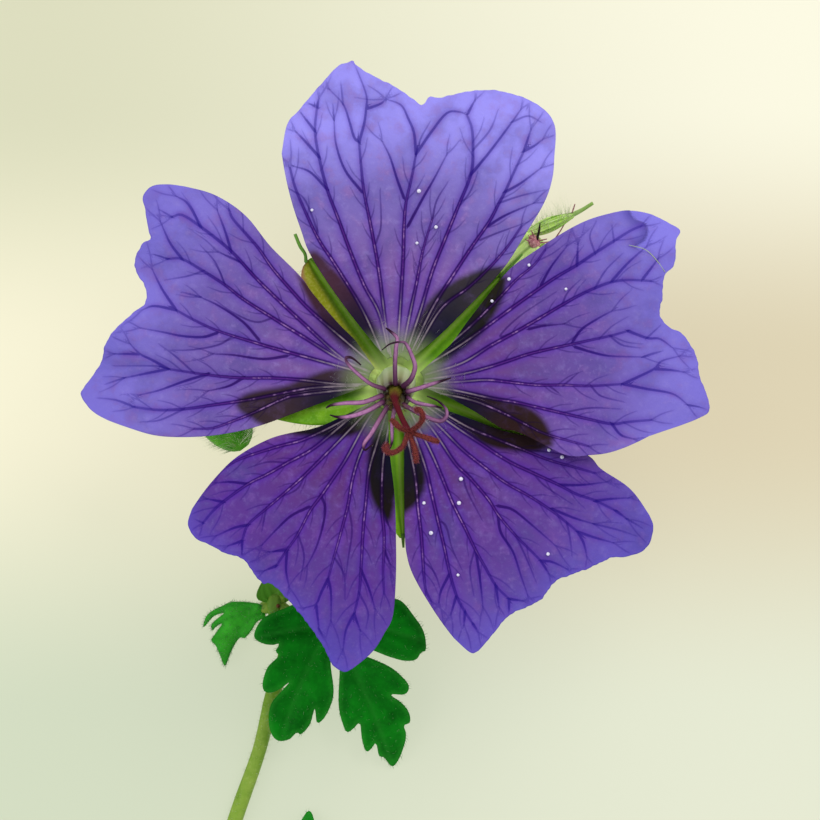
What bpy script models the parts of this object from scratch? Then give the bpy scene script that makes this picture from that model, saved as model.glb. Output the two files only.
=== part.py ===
"""Hardy geranium: one picked sprig lying on a surface, its open bloom facing up.

The sprig is one cut stem with its pedicels, three leaves, a bud, a spent flower and an open
bloom of five petals over five sepals, with ten stamens round a five-armed pistil.
Points are in millimetres from the bloom's axis and turned into metres when a mesh is made.
What the photograph shows is placed by the pixel where it was read off by eye, and seen() turns
that pixel into millimetres. What it hides is placed in millimetres.
+Y runs from the cut stem to the bloom and +Z is up from the surface that the sprig lies on.
"""
import math

import bmesh
import bpy
import numpy as np
from mathutils import Matrix, Vector
from mathutils.geometry import delaunay_2d_cdt

MM = 0.001

# Driving dimensions, in millimetres
BLOOM_WIDTH = 45.0
CAMERA_HEIGHT = 314.0
BLADE_THICKNESS = 0.62
NODE_GAP = 0.35
STEM_RADIUS = 0.6
PEDICEL_RADIUS = 0.5
PETAL_BASE_HEIGHT = 13.95
PETAL_RIM_HEIGHT = 16.5
PETAL_CUP_HEIGHT = 3.0
PETAL_CUP_RADIUS = 16.0
PETAL_RECURVE = 0.9
PETAL_ROOT_FROM_AXIS = 1.0
PETAL_ROOT_RADIUS = 1.0
SEPAL_WIDTH = 4.6
SEPAL_TIP_HEIGHT = 15.5
RECEPTACLE_RADIUS = 1.45
STAMEN_RADIUS = 0.2
STIGMA_RADIUS = 0.26
ARM_ROOT_DEPTH = 0.17
SPRIG_CENTRE = (-0.13, -14.35)

# The photograph's frame, in its pixels: the bloom's width, its axis and the picture's middle
BLOOM_WIDTH_PIXELS = 630
BLOOM_AXIS_PIXEL = (396, 384)
PICTURE_MIDDLE = (410, 410)


def seen(across, down, height):
    """Place what the photograph shows at a pixel, at a height above the surface."""
    def scale_at(level):
        rim_scale = BLOOM_WIDTH / BLOOM_WIDTH_PIXELS
        return rim_scale * (CAMERA_HEIGHT - level) / (CAMERA_HEIGHT - PETAL_RIM_HEIGHT)

    scale = scale_at(height)
    axis_scale = scale_at(PETAL_BASE_HEIGHT)
    camera_x = (PICTURE_MIDDLE[0] - BLOOM_AXIS_PIXEL[0]) * axis_scale
    camera_y = (BLOOM_AXIS_PIXEL[1] - PICTURE_MIDDLE[1]) * axis_scale
    return Vector((camera_x + (across - PICTURE_MIDDLE[0]) * scale,
                   camera_y + (PICTURE_MIDDLE[1] - down) * scale, height))


# Each petal has the azimuth of its middle, its two side edges from the root out to the corner,
# its margin from the left corner to the right one, the margin's wave as (height, number, phase)
# and how far each side edge is lifted. The outline is in the photograph's pixels.
PETALS = {
    "petal_top": {
        "azimuth": 87,
        "left": [(371, 340), (342, 303), (311, 256), (301, 230), (291, 199), (282, 154)],
        "margin": [(288, 123), (299, 110), (321, 83), (336, 66), (352, 59), (370, 74), (391, 85),
                   (411, 97), (420, 105), (432, 97), (454, 94), (485, 89), (509, 92), (537, 104),
                   (554, 124)],
        "right": [(434, 340), (464, 311), (503, 269), (523, 238), (544, 203), (552, 179), (554, 158)],
        "wave": (0.55, 2.0, 0.4),
        "lift": (0, 0),
    },
    "petal_left": {
        "azimuth": 163,
        "left": [(344, 394), (297, 412), (259, 426), (217, 435), (175, 437), (154, 435), (133, 429)],
        "margin": [(108, 420), (91, 410), (80, 395), (83, 387), (93, 374), (102, 359), (105, 345),
                   (116, 329), (127, 319), (144, 305), (147, 295), (144, 285), (134, 265),
                   (142, 244), (151, 238), (146, 212), (143, 197), (152, 186), (167, 184)],
        "right": [(350, 345), (333, 330), (320, 315), (308, 296), (299, 279), (272, 248),
                  (247, 217), (217, 196), (184, 186)],
        "wave": (0.6, 2.4, 1.2),
        "lift": (0, 0),
    },
    "petal_lower_left": {
        "azimuth": 232,
        "left": [(389, 446), (394, 489), (396, 540), (396, 575), (393, 615), (385, 632), (373, 651),
                 (352, 669)],
        "margin": [(343, 672), (331, 663), (323, 646), (304, 618), (283, 594), (270, 583),
                   (262, 583), (249, 566), (242, 558), (226, 553), (209, 544), (197, 539),
                   (190, 530), (188, 522)],
        "right": [(326, 424), (311, 429), (290, 433), (269, 439), (238, 456), (216, 477), (192, 509)],
        "wave": (0.5, 2.2, 2.3),
        "lift": (0, 0),
    },
    "petal_lower_right": {
        "azimuth": 307,
        "left": [(474, 420), (501, 430), (535, 438), (585, 454), (601, 469), (629, 488), (649, 515)],
        "margin": [(653, 525), (652, 536), (649, 545), (640, 553), (626, 557), (611, 558),
                   (586, 569), (569, 575), (554, 582), (540, 600), (515, 612), (504, 620),
                   (495, 631), (485, 643), (477, 651), (470, 652)],
        "right": [(404, 480), (405, 538), (407, 556), (411, 570), (420, 588), (431, 606), (454, 638)],
        "wave": (0.5, 2.1, 0.9),
        "lift": (0, 0),
    },
    "petal_right": {
        "azimuth": 9,
        "left": [(450, 345), (470, 318), (505, 274), (535, 251), (581, 223), (615, 212)],
        "margin": [(629, 210), (650, 213), (674, 225), (681, 231), (676, 242), (674, 265),
                   (664, 276), (662, 299), (660, 316), (671, 328), (684, 335), (697, 358),
                   (699, 375), (708, 400), (709, 409), (703, 416), (669, 429)],
        "right": [(446, 396), (474, 411), (501, 428), (518, 432), (558, 452), (573, 456),
                  (589, 455), (610, 452), (648, 436)],
        "wave": (0.45, 2.0, 2.8),
        "lift": (0, 1.25),
    },
}
PETAL_RINGS = (0, 0.12, 0.28, 0.46, 0.64, 0.82, 1)

# Each sepal of the bloom has the pixel of its tip and its bristle's length
SEPALS = [((301, 262), 2.2), ((503, 274), 2.0), ((237, 403), 2.0), ((548, 443), 2.0), ((403, 538), 2.0)]
SEPAL_SHAPE = [(0, 0.4), (0.12, 0.62), (0.3, 0.95), (0.48, 1), (0.66, 0.82), (0.84, 0.5), (1, 0.16)]

# Filaments as pixels with heights, from the rim of their collar to their curled tips
COLLAR_TOP = Vector((-0.08, -0.9, 15.6))
FILAMENTS = [
    [(395, 364, 17.2), (396, 348, 17.9), (397, 338, 17.8), (390, 331, 17.3), (386, 328, 16.9)],
    [(411, 379, 17.0), (415, 367, 17.6), (412, 356, 17.9), (406, 344, 18.4), (400, 342, 18.9),
     (390, 344, 19.1), (382, 350, 18.9)],
    [(371, 384, 16.6), (358, 374, 17.0), (348, 364, 17.5), (346, 358, 18.1), (352, 358, 18.5),
     (361, 365, 18.4)],
    [(364, 402, 16.3), (346, 403, 16.8), (332, 405, 17.1), (326, 408, 17.5)],
    [(369, 410, 16.5), (352, 416, 16.7), (338, 417, 16.9), (330, 415, 17.4)],
    [(377, 424, 16.3), (371, 434, 16.5), (364, 444, 16.8), (365, 450, 17.3), (373, 444, 17.5)],
    [(392, 424, 16.0), (392, 441, 16.2), (389, 451, 16.4)],
    [(420, 388, 16.3), (438, 382, 16.9), (451, 378, 17.3)],
    [(424, 416, 16.3), (439, 421, 17.0), (446, 417, 17.6), (446, 409, 18.0), (438, 401, 18.3),
     (427, 396, 18.4)],
    [(417, 403, 16.4), (434, 406, 16.9), (442, 408, 16.6)],
]
FILAMENT_RIM_ANGLES = (88, 50, 145, 178, 205, 235, 268, 20, 318, -8)

STYLE_PATH = [(0, 0, 13.7), (-0.04, -0.5, 14.8), (-0.09, -1.1, 16.4), seen(401, 416, 18.1),
              seen(409, 432, 19.4)]
STYLE_RADII = (0.58, 0.6, 0.5, 0.3, 0.34)
STIGMA_ARMS = [
    [(418, 426, 20.0), (423, 418, 20.4), (420, 410, 20.7), (415, 410, 20.5)],
    [(399, 427, 20.0), (391, 419, 20.2)],
    [(427, 438, 19.9), (439, 442, 19.7)],
    [(415, 450, 19.9), (416, 463, 19.7)],
    [(402, 447, 19.9), (392, 453, 19.9), (385, 449, 19.7), (388, 444, 19.4)],
]

# Routes of the stem and its branches
STEM_CUT = (-17.2, -50, 0.7)
STEM_NODE = tuple(seen(275, 604, 2.3))
FORK = (-3.2, -9.5, 1.6)
STEM_PATH = [STEM_CUT, (-15.5, -43, 0.68), seen(235, 820, 0.68), seen(259, 751, 0.75),
             seen(272, 697, 1.0), seen(278, 649, 1.6), STEM_NODE]
PEDUNCLE_PATH = [STEM_NODE, (-6.3, -13, 1.75), FORK]
BLOOM_PEDICEL = [FORK, (-2.4, -6.4, 2.5), (-1.3, -3.4, 5.0), (-0.4, -1.1, 8.3), (0, -0.1, 11.3)]
SPENT_PEDICEL = [FORK, (-1.2, -5.6, 1.2), (2.6, 1.6, 1.0), (5.9, 6.2, 0.9), (7.3, 7.65, 1.05)]
BUD_PEDICEL = [FORK, (-6.6, -8.7, 1.1), (-9.9, -6.9, 1.2), (-11.2, -5.3, 1.6)]
RIGHT_PETIOLE = [STEM_NODE, (-7.4, -17.4, 2.45), (-5.7, -17.9, 2.3)]
LEFT_PETIOLE = [STEM_NODE, (-9.6, -16.6, 2.2), (-10.0, -16.7, 1.9)]
LOWER_LEAF_NODE = (-15.5, -43, 0.68)
LOWER_PETIOLE = [LOWER_LEAF_NODE, (-13.4, -43.8, 1.7), (-11.4, -43.9, 1.85), (-9.2, -43.75, 1.5)]
STIPULE_TIPS = [seen(263, 585, 3.4), seen(285, 580, 3.4)]

# The right leaf's lobes, walked counter-clockwise: each has the height that it is seen at, its
# tip and its edge, in pixels. The two that point up lie under the bloom and are a guess.
RIGHT_PALM = seen(331, 626, 3.2).xy
RIGHT_LEAF_LOBES = [
    {"height": 2.8, "tip": (281, 734),
     "edge": [(308, 631), (278, 615), (255, 635), (260, 643), (278, 643), (274, 656), (264, 678),
              (267, 692), (286, 687), (270, 701), (272, 731), (281, 741), (299, 734), (310, 720),
              (314, 706), (318, 721), (327, 713), (334, 690), (331, 660)]},
    {"height": 1.8, "tip": (389, 759),
     "edge": [(340, 657), (340, 702), (350, 729), (359, 723), (369, 750), (377, 742), (393, 769),
              (402, 758), (404, 725), (410, 721), (412, 711), (391, 693), (408, 693), (408, 685),
              (382, 664), (357, 652)]},
    {"height": 2.8, "tip": (418, 634),
     "edge": [(362, 646), (395, 658), (416, 659), (426, 648), (424, 631), (420, 618), (399, 599),
              (378, 601), (356, 611)]},
    {"height": 2.8, "tip": (362, 569),
     "edge": [(362, 588), (371, 572), (358, 562), (348, 567), (340, 591)]},
    {"height": 2.8, "tip": (316, 560),
     "edge": [(332, 575), (323, 551), (311, 555), (300, 575), (308, 594), (319, 615)]},
]
LEFT_LEAF_HEIGHT = 2.0
LEFT_LEAF = [(259, 621), (247, 636), (243, 641), (238, 640), (224, 666), (214, 650), (211, 640),
             (218, 625), (210, 635), (200, 633), (204, 617), (215, 608), (235, 603), (256, 601)]

# The lower leaf lies outside the photograph: each lobe has its azimuth and length, and its right
# side as (share of the length along it, share across it), mirrored for its left.
LOWER_PALM = (-8.2, -43.7)
LOWER_LEAF_LOBES = [(-78, 8.6), (-26, 10.4), (29, 11.2), (82, 11.8), (134, 7.2)]
LOBE_SIDE = [(0.2, 0.05), (0.42, 0.12), (0.6, 0.26), (0.63, 0.13), (0.84, 0.2), (0.84, 0.09)]

BUD_BASE = seen(244, 448, 2.1)
BUD_TIP = Vector((-15.3, 0.5, 2.4))
SPENT_BASE = seen(498, 279, 1.15)
SPENT_MOUTH = seen(539, 244, 2.05)

# The spent flower's sepals and its dried style lean to one side of its cup. Each sepal has its turn
# round that way, how far it leans out and its length.
SPENT_WAY = (seen(593, 204, 2.65) - seen(527, 234, 2.05)).normalized()
SPENT_HEART = SPENT_BASE.lerp(SPENT_MOUTH, 0.72)
SPENT_SEPALS = [(300, 1, 3.8), (40, 12, 3.8), (84, 10, 4.0), (156, 6, 3.8), (228, 4, 3.8)]
SPENT_SEPAL_NARROWING = 0.55
SPENT_STYLE_AHEAD = 1.7

GREEN_STEM = (0.30, 0.42, 0.08)
GREEN_SEPAL = (0.16, 0.36, 0.05)
GREEN_LEAF = (0.01, 0.17, 0.02)
VIOLET = (0.23, 0.15, 0.60)
STAMEN_PINK = (0.38, 0.13, 0.33)
STIGMA_RED = (0.36, 0.06, 0.05)


def material(name, colour, roughness):
    """Make a plain non-metallic material."""
    made = bpy.data.materials.new(name)
    made.use_nodes = True
    shader = made.node_tree.nodes["Principled BSDF"]
    shader.inputs["Base Color"].default_value = (*colour, 1)
    shader.inputs["Roughness"].default_value = roughness
    shader.inputs["Metallic"].default_value = 0
    return made


def mesh_object(name, points, faces, collection):
    """Make a mesh object from points in millimetres."""
    mesh = bpy.data.meshes.new(name)
    mesh.from_pydata([Vector(point) * MM for point in points], [], faces)
    mesh.validate()
    made = bpy.data.objects.new(name, mesh)
    collection.objects.link(made)
    return made


def apply_modifiers(piece):
    """Give an object its evaluated mesh and clear its modifiers."""
    depsgraph = bpy.context.evaluated_depsgraph_get()
    mesh = bpy.data.meshes.new_from_object(piece.evaluated_get(depsgraph))
    piece.modifiers.clear()
    piece.data = mesh
    return piece


def clean_mesh(piece):
    """Weld a mesh and turn its faces outward."""
    work = bmesh.new()
    work.from_mesh(piece.data)
    bmesh.ops.remove_doubles(work, verts=work.verts, dist=0.002 * MM)
    bmesh.ops.recalc_face_normals(work, faces=work.faces)
    work.to_mesh(piece.data)
    work.free()
    return piece


def smooth_path(points, steps):
    """Run a smooth curve through points, with the given steps between each pair."""
    knots = [Vector(point) for point in points]
    knots = [2 * knots[0] - knots[1]] + knots + [2 * knots[-1] - knots[-2]]
    path = []
    for before, start, end, after in zip(knots, knots[1:], knots[2:], knots[3:]):
        for step in range(steps):
            t = step / steps
            path.append(0.5 * (2 * start + (end - before) * t
                               + (2 * before - 5 * start + 4 * end - after) * t ** 2
                               + (3 * start - before - 3 * end + after) * t ** 3))
    path.append(knots[-2])
    return path


def tube(name, path, radii, collection, resolution=2):
    """Sweep a round section along a path, its radius spread from a list of radii."""
    curve = bpy.data.curves.new("sweep", "CURVE")
    curve.dimensions = "3D"
    curve.bevel_depth = MM
    curve.bevel_resolution = resolution
    curve.use_fill_caps = True
    spline = curve.splines.new("POLY")
    spline.points.add(len(path) - 1)
    shares = np.linspace(0, len(radii) - 1, len(path))
    for point, place, radius in zip(spline.points, path, np.interp(shares, range(len(radii)), radii)):
        point.co = (*(place * MM), 1)
        point.radius = radius
    swept = bpy.data.objects.new("sweep", curve)
    collection.objects.link(swept)
    depsgraph = bpy.context.evaluated_depsgraph_get()
    mesh = bpy.data.meshes.new_from_object(swept.evaluated_get(depsgraph))
    made = bpy.data.objects.new(name, mesh)
    collection.objects.link(made)
    bpy.data.objects.remove(swept)
    return clean_mesh(made)


def loft(name, rings, collection, closed=False):
    """Skin rings of points, closing the skin on itself or with a cap at each end."""
    count = len(rings[0])
    points = [point for ring in rings for point in ring]
    faces = []
    for first in range(len(rings) if closed else len(rings) - 1):
        second = (first + 1) % len(rings)
        for side in range(count):
            after = (side + 1) % count
            faces.append((first * count + side, first * count + after,
                          second * count + after, second * count + side))
    if not closed:
        faces.append(tuple(reversed(range(count))))
        faces.append(tuple(range(len(points) - count, len(points))))
    return clean_mesh(mesh_object(name, points, faces, collection))


def ring(centre, radius, sides, normal=(0, 0, 1), ribs=0.0):
    """Give the points of a ring about a centre, with five ribs of a given share if asked."""
    turn = Vector(normal).to_track_quat("Z", "Y")
    points = []
    for side in range(sides):
        angle = 2 * math.pi * side / sides
        reach = radius * (1 + ribs * math.cos(5 * angle))
        points.append(Vector(centre) + turn @ Vector((reach * math.cos(angle), reach * math.sin(angle), 0)))
    return points


def sheet(name, rows, collection, thickness=BLADE_THICKNESS):
    """Turn rows of points into a blade of even thickness, its faces split into triangles."""
    width = len(rows[0])
    points = [point for row in rows for point in row]
    faces = []
    for row in range(len(rows) - 1):
        for column in range(width - 1):
            a = row * width + column
            faces.append((a, a + 1, a + width + 1))
            faces.append((a, a + width + 1, a + width))
    made = mesh_object(name, points, faces, collection)
    return thicken(made, thickness)


def thicken(blade, thickness=BLADE_THICKNESS):
    """Thicken a one-sided blade evenly about its middle surface."""
    solidify = blade.modifiers.new("thickness", "SOLIDIFY")
    solidify.thickness = thickness * MM
    solidify.offset = 0
    return clean_mesh(apply_modifiers(blade))


def fuse(main, roots):
    """Unite an object with others, which are used up."""
    group = bpy.data.collections.new("roots")
    bpy.context.scene.collection.children.link(group)
    for root in roots:
        for holder in list(root.users_collection):
            holder.objects.unlink(root)
        group.objects.link(root)
    union = main.modifiers.new("union", "BOOLEAN")
    union.operation = "UNION"
    union.operand_type = "COLLECTION"
    union.collection = group
    union.solver = "MANIFOLD"
    apply_modifiers(main)
    for root in roots:
        bpy.data.objects.remove(root)
    bpy.data.collections.remove(group)
    return clean_mesh(main)


def rest_on_surface(piece):
    """Lower or raise a piece until its lowest point touches the surface."""
    lowest = min(vertex.co.z for vertex in piece.data.vertices)
    piece.data.transform(Matrix.Translation((0, 0, -lowest)))
    return piece


def petal_rise(radius):
    """Give the height of the petals' shared saucer at a radius from their root."""
    cup = PETAL_CUP_HEIGHT * math.sin(math.pi / 2 * min(radius / PETAL_CUP_RADIUS, 1))
    recurve = PETAL_RECURVE * max(0, (radius - PETAL_CUP_RADIUS) / 6) ** 2
    return PETAL_BASE_HEIGHT + cup - recurve


def read_outline(petal):
    """Turn a petal's outline into (radius, degrees from its middle) about its root."""
    middle = math.radians(petal["azimuth"])
    root = Vector((math.cos(middle), math.sin(middle))) * PETAL_ROOT_FROM_AXIS

    def polar(pixel):
        reach = seen(*pixel, PETAL_RIM_HEIGHT).xy - root
        turn = math.degrees(math.atan2(reach.y, reach.x)) - petal["azimuth"]
        return reach.length, (turn + 180) % 360 - 180

    return {part: [polar(pixel) for pixel in petal[part]] for part in ("left", "margin", "right")}


def side_angle(edge, radius):
    """Give a side edge's angle at a radius."""
    return np.interp(radius, [r for r, _ in edge], [angle for _, angle in edge])


def petal_point(petal, outline, across, radius):
    """Place a point of a petal, across running from 0 on its left edge to 1 on its right."""
    left = side_angle(outline["left"], radius)
    right = side_angle(outline["right"], radius)
    middle = math.radians(petal["azimuth"])
    angle = middle + math.radians(left + (right - left) * across)
    height, number, phase = petal["wave"]
    wave = height * (radius / 20) ** 3 * math.cos(number * math.pi * (2 * across - 1) + phase)
    reach = min(max((radius - 3) / 7, 0), 1)
    lift_left, lift_right = petal["lift"]
    lift = reach * (lift_left * max(0, 1 - 3 * across) ** 2 + lift_right * max(0, 3 * across - 2) ** 2)
    return Vector((PETAL_ROOT_FROM_AXIS * math.cos(middle) + radius * math.cos(angle),
                   PETAL_ROOT_FROM_AXIS * math.sin(middle) + radius * math.sin(angle),
                   petal_rise(radius) + wave + lift))


def build_petal(name, petal, collection):
    """Build a petal as rows of points from its root to its margin."""
    outline = read_outline(petal)
    margin = []
    for radius, angle in [outline["left"][-1], *outline["margin"], outline["right"][-1]]:
        left = side_angle(outline["left"], radius)
        right = side_angle(outline["right"], radius)
        margin.append(((angle - left) / (right - left), radius))
    rows = []
    for share in PETAL_RINGS:
        rows.append([petal_point(petal, outline, across,
                                 PETAL_ROOT_RADIUS + (radius - PETAL_ROOT_RADIUS) * share)
                     for across, radius in margin])
    return sheet(name, rows, collection)


def sepal_rows(length, bristle, place):
    """Give a sepal's rows of points, from its root to the end of its bristle."""
    stations = [(share * length, half * SEPAL_WIDTH / 2) for share, half in SEPAL_SHAPE]
    stations.append((length + bristle, 0.3))
    return [[place(along, -half), place(along, 0), place(along, half)] for along, half in stations]


def build_calyx(collection):
    """Build the bloom's receptacle with its five sepals under the petals."""
    heights = [(11.8, 0.5), (12.3, 1.0), (12.8, RECEPTACLE_RADIUS), (13.3, RECEPTACLE_RADIUS)]
    calyx = loft("calyx", [ring((0, 0, z), radius, 14) for z, radius in heights], collection)
    under_petals = BLADE_THICKNESS + NODE_GAP + 0.1
    sepals = []
    for tip, bristle in SEPALS:
        reach = seen(*tip, SEPAL_TIP_HEIGHT).xy
        turn = Matrix.Rotation(math.atan2(reach.y, reach.x), 3, "Z")

        def place(along, across):
            keel = 0.2 if across == 0 else 0
            radius = math.hypot(along + 0.5, across)
            z = petal_rise(max(radius - 1, 0)) - under_petals - keel
            return turn @ Vector((along + 0.5, across, z))

        sepals.append(sheet("sepal", sepal_rows(reach.length - 0.5, bristle, place), collection))
    return fuse(calyx, sepals)


def build_stamens(collection):
    """Build the ten filaments on the skewed collar of their joined bases."""
    foot = Vector((0, 0, 13.7))
    rings = [ring(foot, 1.42, 14), ring((0, -0.3, 14.6), 1.36, 14), ring(COLLAR_TOP, 1.2, 14),
             ring(COLLAR_TOP, 0.84, 14), ring((0, -0.3, 14.6), 0.95, 14), ring(foot, 0.98, 14)]
    stamens = loft("stamens", rings, collection, closed=True)
    filaments = []
    for angle, route in zip(FILAMENT_RIM_ANGLES, FILAMENTS):
        outward = Vector((math.cos(math.radians(angle)), math.sin(math.radians(angle)), 0))
        root = COLLAR_TOP + outward * 1.02
        up = [root - Vector((0, 0, 0.3)), root + Vector((0, 0, 0.25))]
        path = smooth_path(up + [seen(*point) for point in route], 2)
        filaments.append(tube("filament", path, [STAMEN_RADIUS] * 3 + [STAMEN_RADIUS * 0.7],
                              collection, resolution=1))
    return fuse(stamens, filaments)


def build_pistil(collection):
    """Build the ovary and style with the five curled arms of the stigma."""
    pistil = tube("pistil", smooth_path(STYLE_PATH, 3), STYLE_RADII, collection)
    crown = Vector(STYLE_PATH[-1])
    arms = []
    for route in STIGMA_ARMS:
        places = [seen(*point) for point in route]
        start = crown + (places[0] - crown) * 0.15 - Vector((0, 0, ARM_ROOT_DEPTH))
        path = smooth_path([start, *places], 3)
        arms.append(tube("arm", path, [STIGMA_RADIUS, STIGMA_RADIUS * 1.1, STIGMA_RADIUS * 0.9],
                         collection, resolution=1))
    return fuse(pistil, arms)


def build_stem(collection):
    """Build the stem with its pedicels, petioles and stipules as the one piece they grew as."""
    stem = tube("stem", smooth_path(STEM_PATH, 2), [STEM_RADIUS], collection)
    branches = [tube("peduncle", smooth_path(PEDUNCLE_PATH, 3), [STEM_RADIUS], collection)]
    for route in (BLOOM_PEDICEL, SPENT_PEDICEL, BUD_PEDICEL):
        radii = [PEDICEL_RADIUS] * 3 + [PEDICEL_RADIUS * 1.25]
        branches.append(tube("pedicel", smooth_path(route, 3), radii, collection))
    for route in (RIGHT_PETIOLE, LEFT_PETIOLE, LOWER_PETIOLE):
        branches.append(tube("petiole", smooth_path(route, 2), [0.45], collection, resolution=1))
    for joint, swelling in ((STEM_NODE, 0.95), (FORK, 0.85), (LOWER_LEAF_NODE, 0.68)):
        bpy.ops.mesh.primitive_ico_sphere_add(subdivisions=2, radius=swelling * MM,
                                              location=Vector(joint) * MM)
        knot = bpy.context.object
        bpy.ops.object.transform_apply()
        branches.append(knot)
    foot = Vector(STEM_NODE)
    for tip in STIPULE_TIPS:
        across = (tip - foot).cross(Vector((0, 0, 1))).normalized()
        rows = []
        for share, half in ((0.1, 0.5), (0.5, 0.8), (0.85, 0.5), (1.15, 0.12)):
            centre = foot.lerp(tip, share)
            rows.append([centre - across * half, centre, centre + across * half])
        branches.append(sheet("stipule", rows, collection))
    return fuse(stem, branches)


def leaf_blade(name, outline, inner, height, collection):
    """Fill an outline with triangles through inner points, bend it and thicken it."""
    flat = [Vector(point[:2]) for point in [*outline, *inner]]
    border = list(range(len(outline)))
    points, _, faces, _, _, _ = delaunay_2d_cdt(flat, [], [border], 1, 1e-5)
    blade = mesh_object(name, [(x, y, height(x, y)) for x, y in points], faces, collection)
    return thicken(blade)


def lobe_ribs(palm, tips, shares=(0.3, 0.55, 0.78)):
    """Give points along the midrib of each lobe."""
    centre = Vector(palm)
    return [centre.lerp(Vector(tip), share) for tip in tips for share in shares]


def build_right_leaf(collection):
    """Build the palmate leaf whose lobes reach out from under the lower petals."""
    outline = [seen(*point, lobe["height"]) for lobe in RIGHT_LEAF_LOBES for point in lobe["edge"]]
    tips = [seen(*lobe["tip"], lobe["height"]).xy for lobe in RIGHT_LEAF_LOBES]
    inner = [RIGHT_PALM, *lobe_ribs(RIGHT_PALM, tips)]

    def height(x, y):
        out = (Vector((x, y)) - RIGHT_PALM).length
        toward_stem = max(0, (-5.5 - x) / 4)
        drop = max(0, out - 4.5) / 6.5
        return 3.35 + 0.12 * out - (3.7 - 2.2 * min(toward_stem, 1)) * drop ** 1.5

    return leaf_blade("leaf_right", outline, inner, height, collection)


def build_left_leaf(collection):
    """Build the small folded leaf opposite it."""
    outline = [seen(*point, LEFT_LEAF_HEIGHT) for point in LEFT_LEAF]
    inner = [(-11.4, -17.6), (-12.6, -18.6), (-12.7, -17.3)]

    def height(x, y):
        out = math.hypot(x + 10.2, y + 16.8)
        return 2.1 - 0.06 * out ** 2 * 0.9 + 0.25 * math.sin(2.0 * (y + 17.5))

    return leaf_blade("leaf_left", outline, inner, height, collection)


def build_lower_leaf(collection):
    """Build the lower stem's palmate leaf, its palm lying flat on the surface."""
    palm = Vector(LOWER_PALM)
    outline = []
    tips = []
    for azimuth, length in LOWER_LEAF_LOBES:
        along = Vector((math.cos(math.radians(azimuth)), math.sin(math.radians(azimuth))))
        side = Vector((along.y, -along.x))
        right = [palm + length * (a * along + b * side) for a, b in LOBE_SIDE]
        left = [palm + length * (a * along - b * side) for a, b in reversed(LOBE_SIDE)]
        outline += [*right, palm + length * along, *left]
        tips.append(palm + 0.96 * length * along)
    outline.append(palm + Vector((-2.4, -0.2)))
    flat = [point[:2] for radius in (1.1, 2.0) for point in ring((*palm, 0), radius, 8)]
    inner = [palm, *flat, *lobe_ribs(palm, tips, (0.4, 0.6, 0.8))]

    def height(x, y):
        out = max(0, (Vector((x, y)) - palm).length - 2.2) / 9
        return BLADE_THICKNESS / 2 + 2.6 * out - 2.4 * out ** 2

    return leaf_blade("leaf_lower", outline, inner, height, collection)


def build_bud(collection):
    """Build the closed bud as ribbed rings along its axis."""
    axis = BUD_TIP - BUD_BASE
    shape = [(0, 0.45), (0.06, 1.2), (0.2, 1.85), (0.4, 2.1), (0.6, 1.8), (0.78, 1.2), (0.92, 0.6),
             (1.0, 0.25), (1.15, 0.2)]
    rings = [ring(BUD_BASE + axis * share, radius, 10, axis, ribs=0.04) for share, radius in shape]
    return rest_on_surface(loft("bud", rings, collection))


def build_spent_calyx(collection):
    """Build the spent flower's ribbed cup with its five sepals."""
    axis = SPENT_MOUTH - SPENT_BASE
    shape = [(0, 0.6), (0.2, 1.15), (0.5, 1.6), (0.8, 1.75), (1.0, 1.7)]
    rings = [ring(SPENT_BASE + axis * share, radius, 10, axis, ribs=0.05) for share, radius in shape]
    cup = loft("spent_calyx", rings, collection)
    frame = SPENT_WAY.to_track_quat("X", "Z").to_matrix()
    sepals = []
    for turn, lean, length in SPENT_SEPALS:
        roll = frame @ Matrix.Rotation(math.radians(turn), 3, "X")

        def place(along, across):
            out = 1.25 + math.sin(math.radians(lean)) * along - 0.05 * across ** 2
            ahead = math.cos(math.radians(lean)) * along
            return SPENT_HEART + roll @ Vector((ahead, across * SPENT_SEPAL_NARROWING, out))

        sepals.append(sheet("sepal", sepal_rows(length, 1.8, place), collection))
    return rest_on_surface(fuse(cup, sepals))


def build_spent_pistil(collection):
    """Build the spent flower's dried style and filaments."""
    frame = SPENT_WAY.to_track_quat("X", "Z").to_matrix()
    root = SPENT_HEART + SPENT_WAY * SPENT_STYLE_AHEAD
    path = [root, root + SPENT_WAY * 0.9, root + SPENT_WAY * 1.9]
    style = tube("spent_pistil", path, [0.45, 0.35, 0.3], collection)
    threads = []
    for turn, lean in ((30, 0.6), (150, 0.5), (270, 0.55)):
        side = frame @ Vector((0, math.cos(math.radians(turn)), math.sin(math.radians(turn))))
        start = root + SPENT_WAY * 0.5
        path = [start, start + SPENT_WAY * 0.5 + side * 0.4 * lean,
                start + SPENT_WAY * 1.5 + side * 0.8 * lean]
        threads.append(tube("thread", path, [0.2], collection, resolution=1))
    return fuse(style, threads)


def finish(piece, colour, roughness=0.55):
    """Colour a piece, shade it smooth and move it to the sprig's own origin."""
    piece.data.materials.clear()
    piece.data.materials.append(material(piece.name, colour, roughness))
    piece.data.shade_smooth()
    piece.data.transform(Matrix.Translation((-SPRIG_CENTRE[0] * MM, -SPRIG_CENTRE[1] * MM, 0)))


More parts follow.
